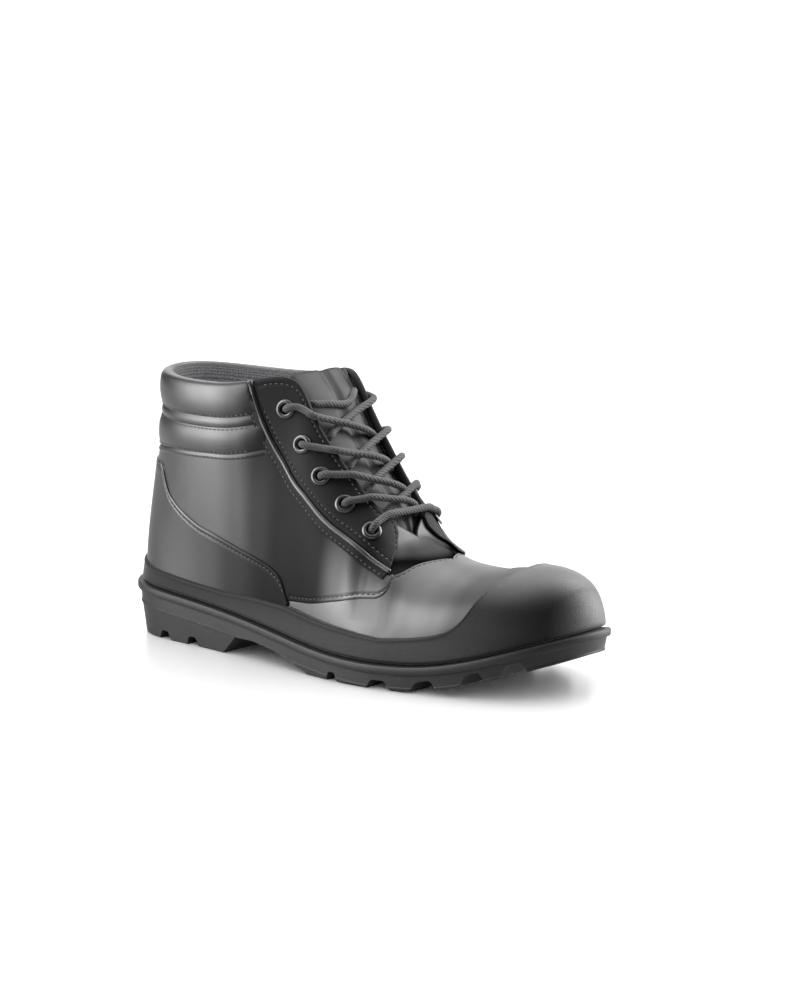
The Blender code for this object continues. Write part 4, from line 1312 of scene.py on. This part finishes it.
def buildTongue():
    grid = [tongueRow(row, -tongueBook["face"]) for row in tongueBook["rows"]]
    rise = unit(grid[-1] - grid[-2])
    grid.append(grid[-1] + tongueBook["above"] * rise)
    grid = np.array(grid)
    along = runAlong(grid[:, 3])
    fine = spline(along, grid, np.linspace(0.0, along[-1], 81))
    across = np.linspace(-1.0, 1.0, 7)
    shares = np.linspace(-1.0, 1.0, 61)
    field = np.stack([spline(across, row, shares) for row in fine])
    normal = unit(np.cross(np.gradient(field, axis=1), np.gradient(field, axis=0)))
    move = np.zeros(field.shape[:2])
    lift, beside, half = tongueBook["puff"]
    for share, depth in tongueBook["folds"]:
        move -= depth * np.exp(-((shares - share) / tongueBook["foldHalf"]) ** 2)
        move += lift * depth * np.exp(-((shares - share - beside) / half) ** 2)
    field = field + normal * move[..., None]
    mesh = gridMesh(field.transpose(1, 0, 2))
    piece = finishPiece("tonguePad", mesh, [tongueLeather, lining], ["tongue"])
    thicken(piece, tongueBook["thick"], inner=1)


buildTongue()


# insole

insoleBook = {
    "inside": 3.2,           # mm in from the foot of the upper
    "top": 4.6,              # mm above the sole
    "thick": 3.6,
    "cup": 2.2,              # mm that its edge rises
    "cupped": ((0, 0.0), (1, 1.0), (6, 1.0), (9, 0.2)),    # (section number, share of the rise)
}


def buildInsole():
    stations = np.linspace(0.0, 0.5 * turn, 121)
    lateral = outline(stations, -insoleBook["inside"])
    medial = outline(turn - stations, -insoleBook["inside"])
    base = np.minimum(lateral[:, 2], medial[:, 2]) + insoleBook["top"]
    rise = insoleBook["cup"] * straight(insoleBook["cupped"], stations)
    field = []
    for share in np.linspace(0.0, 1.0, 25):
        row = lateral * (1.0 - share) + medial * share
        row[:, 2] = base + rise * abs(2.0 * share - 1.0) ** 4
        field.append(row)
    piece = finishPiece("insolePad", gridMesh(np.stack(field, axis=1)), [sockKnit], ["insole"])
    thicken(piece, insoleBook["thick"])


buildInsole()


# lace, one cord from top eyelet to top eyelet

laceBook = {
    "radius": 1.95,
    # section numbers where the cord from each eyelet passes the throat edge and the middle of the tongue
    "lateralRows": ((5.97, 6.35), (6.80, 7.08), (7.40, 7.78), (8.04, 8.42), (8.80, 8.80)),
    "medialRows": ((5.80, 6.15), (6.55, 6.88), (7.18, 7.48), (7.88, 8.26), (8.80, 8.80)),
    # (share of the way over the facing, mm above the last)
    "lead": ((0.1, 4.3), (0.26, 4.9), (0.5, 4.3), (0.8, 4.3)),
    # (share of the way across the throat, mm above the last): the lateral cord lies on the medial one
    "lateralOver": ((0.0, 4.6), (0.25, 5.4), (0.5, 5.9), (0.68, 4.4), (0.82, 1.0), (0.94, -3.0)),
    "medialOver": ((0.0, 4.4), (0.25, 3.4), (0.5, 1.9), (0.68, 0.6), (0.82, -1.0), (0.94, -3.4)),
    # (section number, share across the throat, mm above the last): the end tucked under the facings
    "tuck": ((5.5, 1.0, -5.0), (5.56, 0.9, -2.6), (5.66, 0.78, 0.2), (5.78, 0.66, 1.3), (5.80, 0.5, 1.5),
             (5.74, 0.3, 0.6), (5.70, 0.12, -2.2), (5.66, 0.0, -5.0)),
    "barAbove": 4.5,         # mm above the last
}


def overThroat(row, across, above, side=1):
    # a place on the way from one throat edge to the other
    pair = np.array([row, turn - row])[::side]
    edges = onLast(pair, tallAt(pair), above)
    return edges[0] + across * (edges[1] - edges[0])


def laceLead(number, side):
    # up through an eyelet and over its own facing
    station, drop = eyelets[number]
    rows = laceBook["lateralRows" if side > 0 else "medialRows"]
    edge = rows[number][0]
    route = [eyeletPlace(number, side, out)[0] for out in (-5.0, 1.2)]
    for share, above in laceBook["lead"]:
        s = onSide(np.array([station + share * (edge - station)]), side)
        route.append(onLast(s, tallAt(s) - drop * (1.0 - share), above)[0])
    return route


def laceStrand(number, side):
    # over the tongue and under the other facing
    word = "lateral" if side > 0 else "medial"
    edge, middle = laceBook[word + "Rows"][number]
    route = laceLead(number, side)
    for across, above in laceBook[word + "Over"]:
        row = edge + 2.0 * across * (middle - edge)
        route.append(overThroat(row, across, above, side))
    return route


def laceChain(side):
    route = []
    for number in range(len(eyelets) - 1):
        route += laceStrand(number, side)
        side = -side
    return route + laceLead(len(eyelets) - 1, side)


def buildLace():
    end = laceBook["lateralRows"][-1][0]
    bar = [overThroat(end, share, laceBook["barAbove"]) for share in np.linspace(0.0, 1.0, 5)]
    tuck = [overThroat(*place) for place in laceBook["tuck"]]
    route = np.array(tuck + laceChain(1) + bar + laceChain(-1)[::-1])
    run = runAlong(route, 0.5)
    path = spline(run, route, np.linspace(0.0, run[-1], 900))
    length = runAlong(path)[-1]
    cord = braidedCord("braided polyester cord", "#171718", length)
    mesh = gridMesh(tubeField(path, laceBook["radius"], 14))
    nodes = ["lace_bar"] + ["lace_cross_%d" % (k + 1) for k in range(len(eyelets) - 1)]
    finishPiece("lace", mesh, [cord], nodes)
    print("lace length in mm: %.0f" % length)


buildLace()
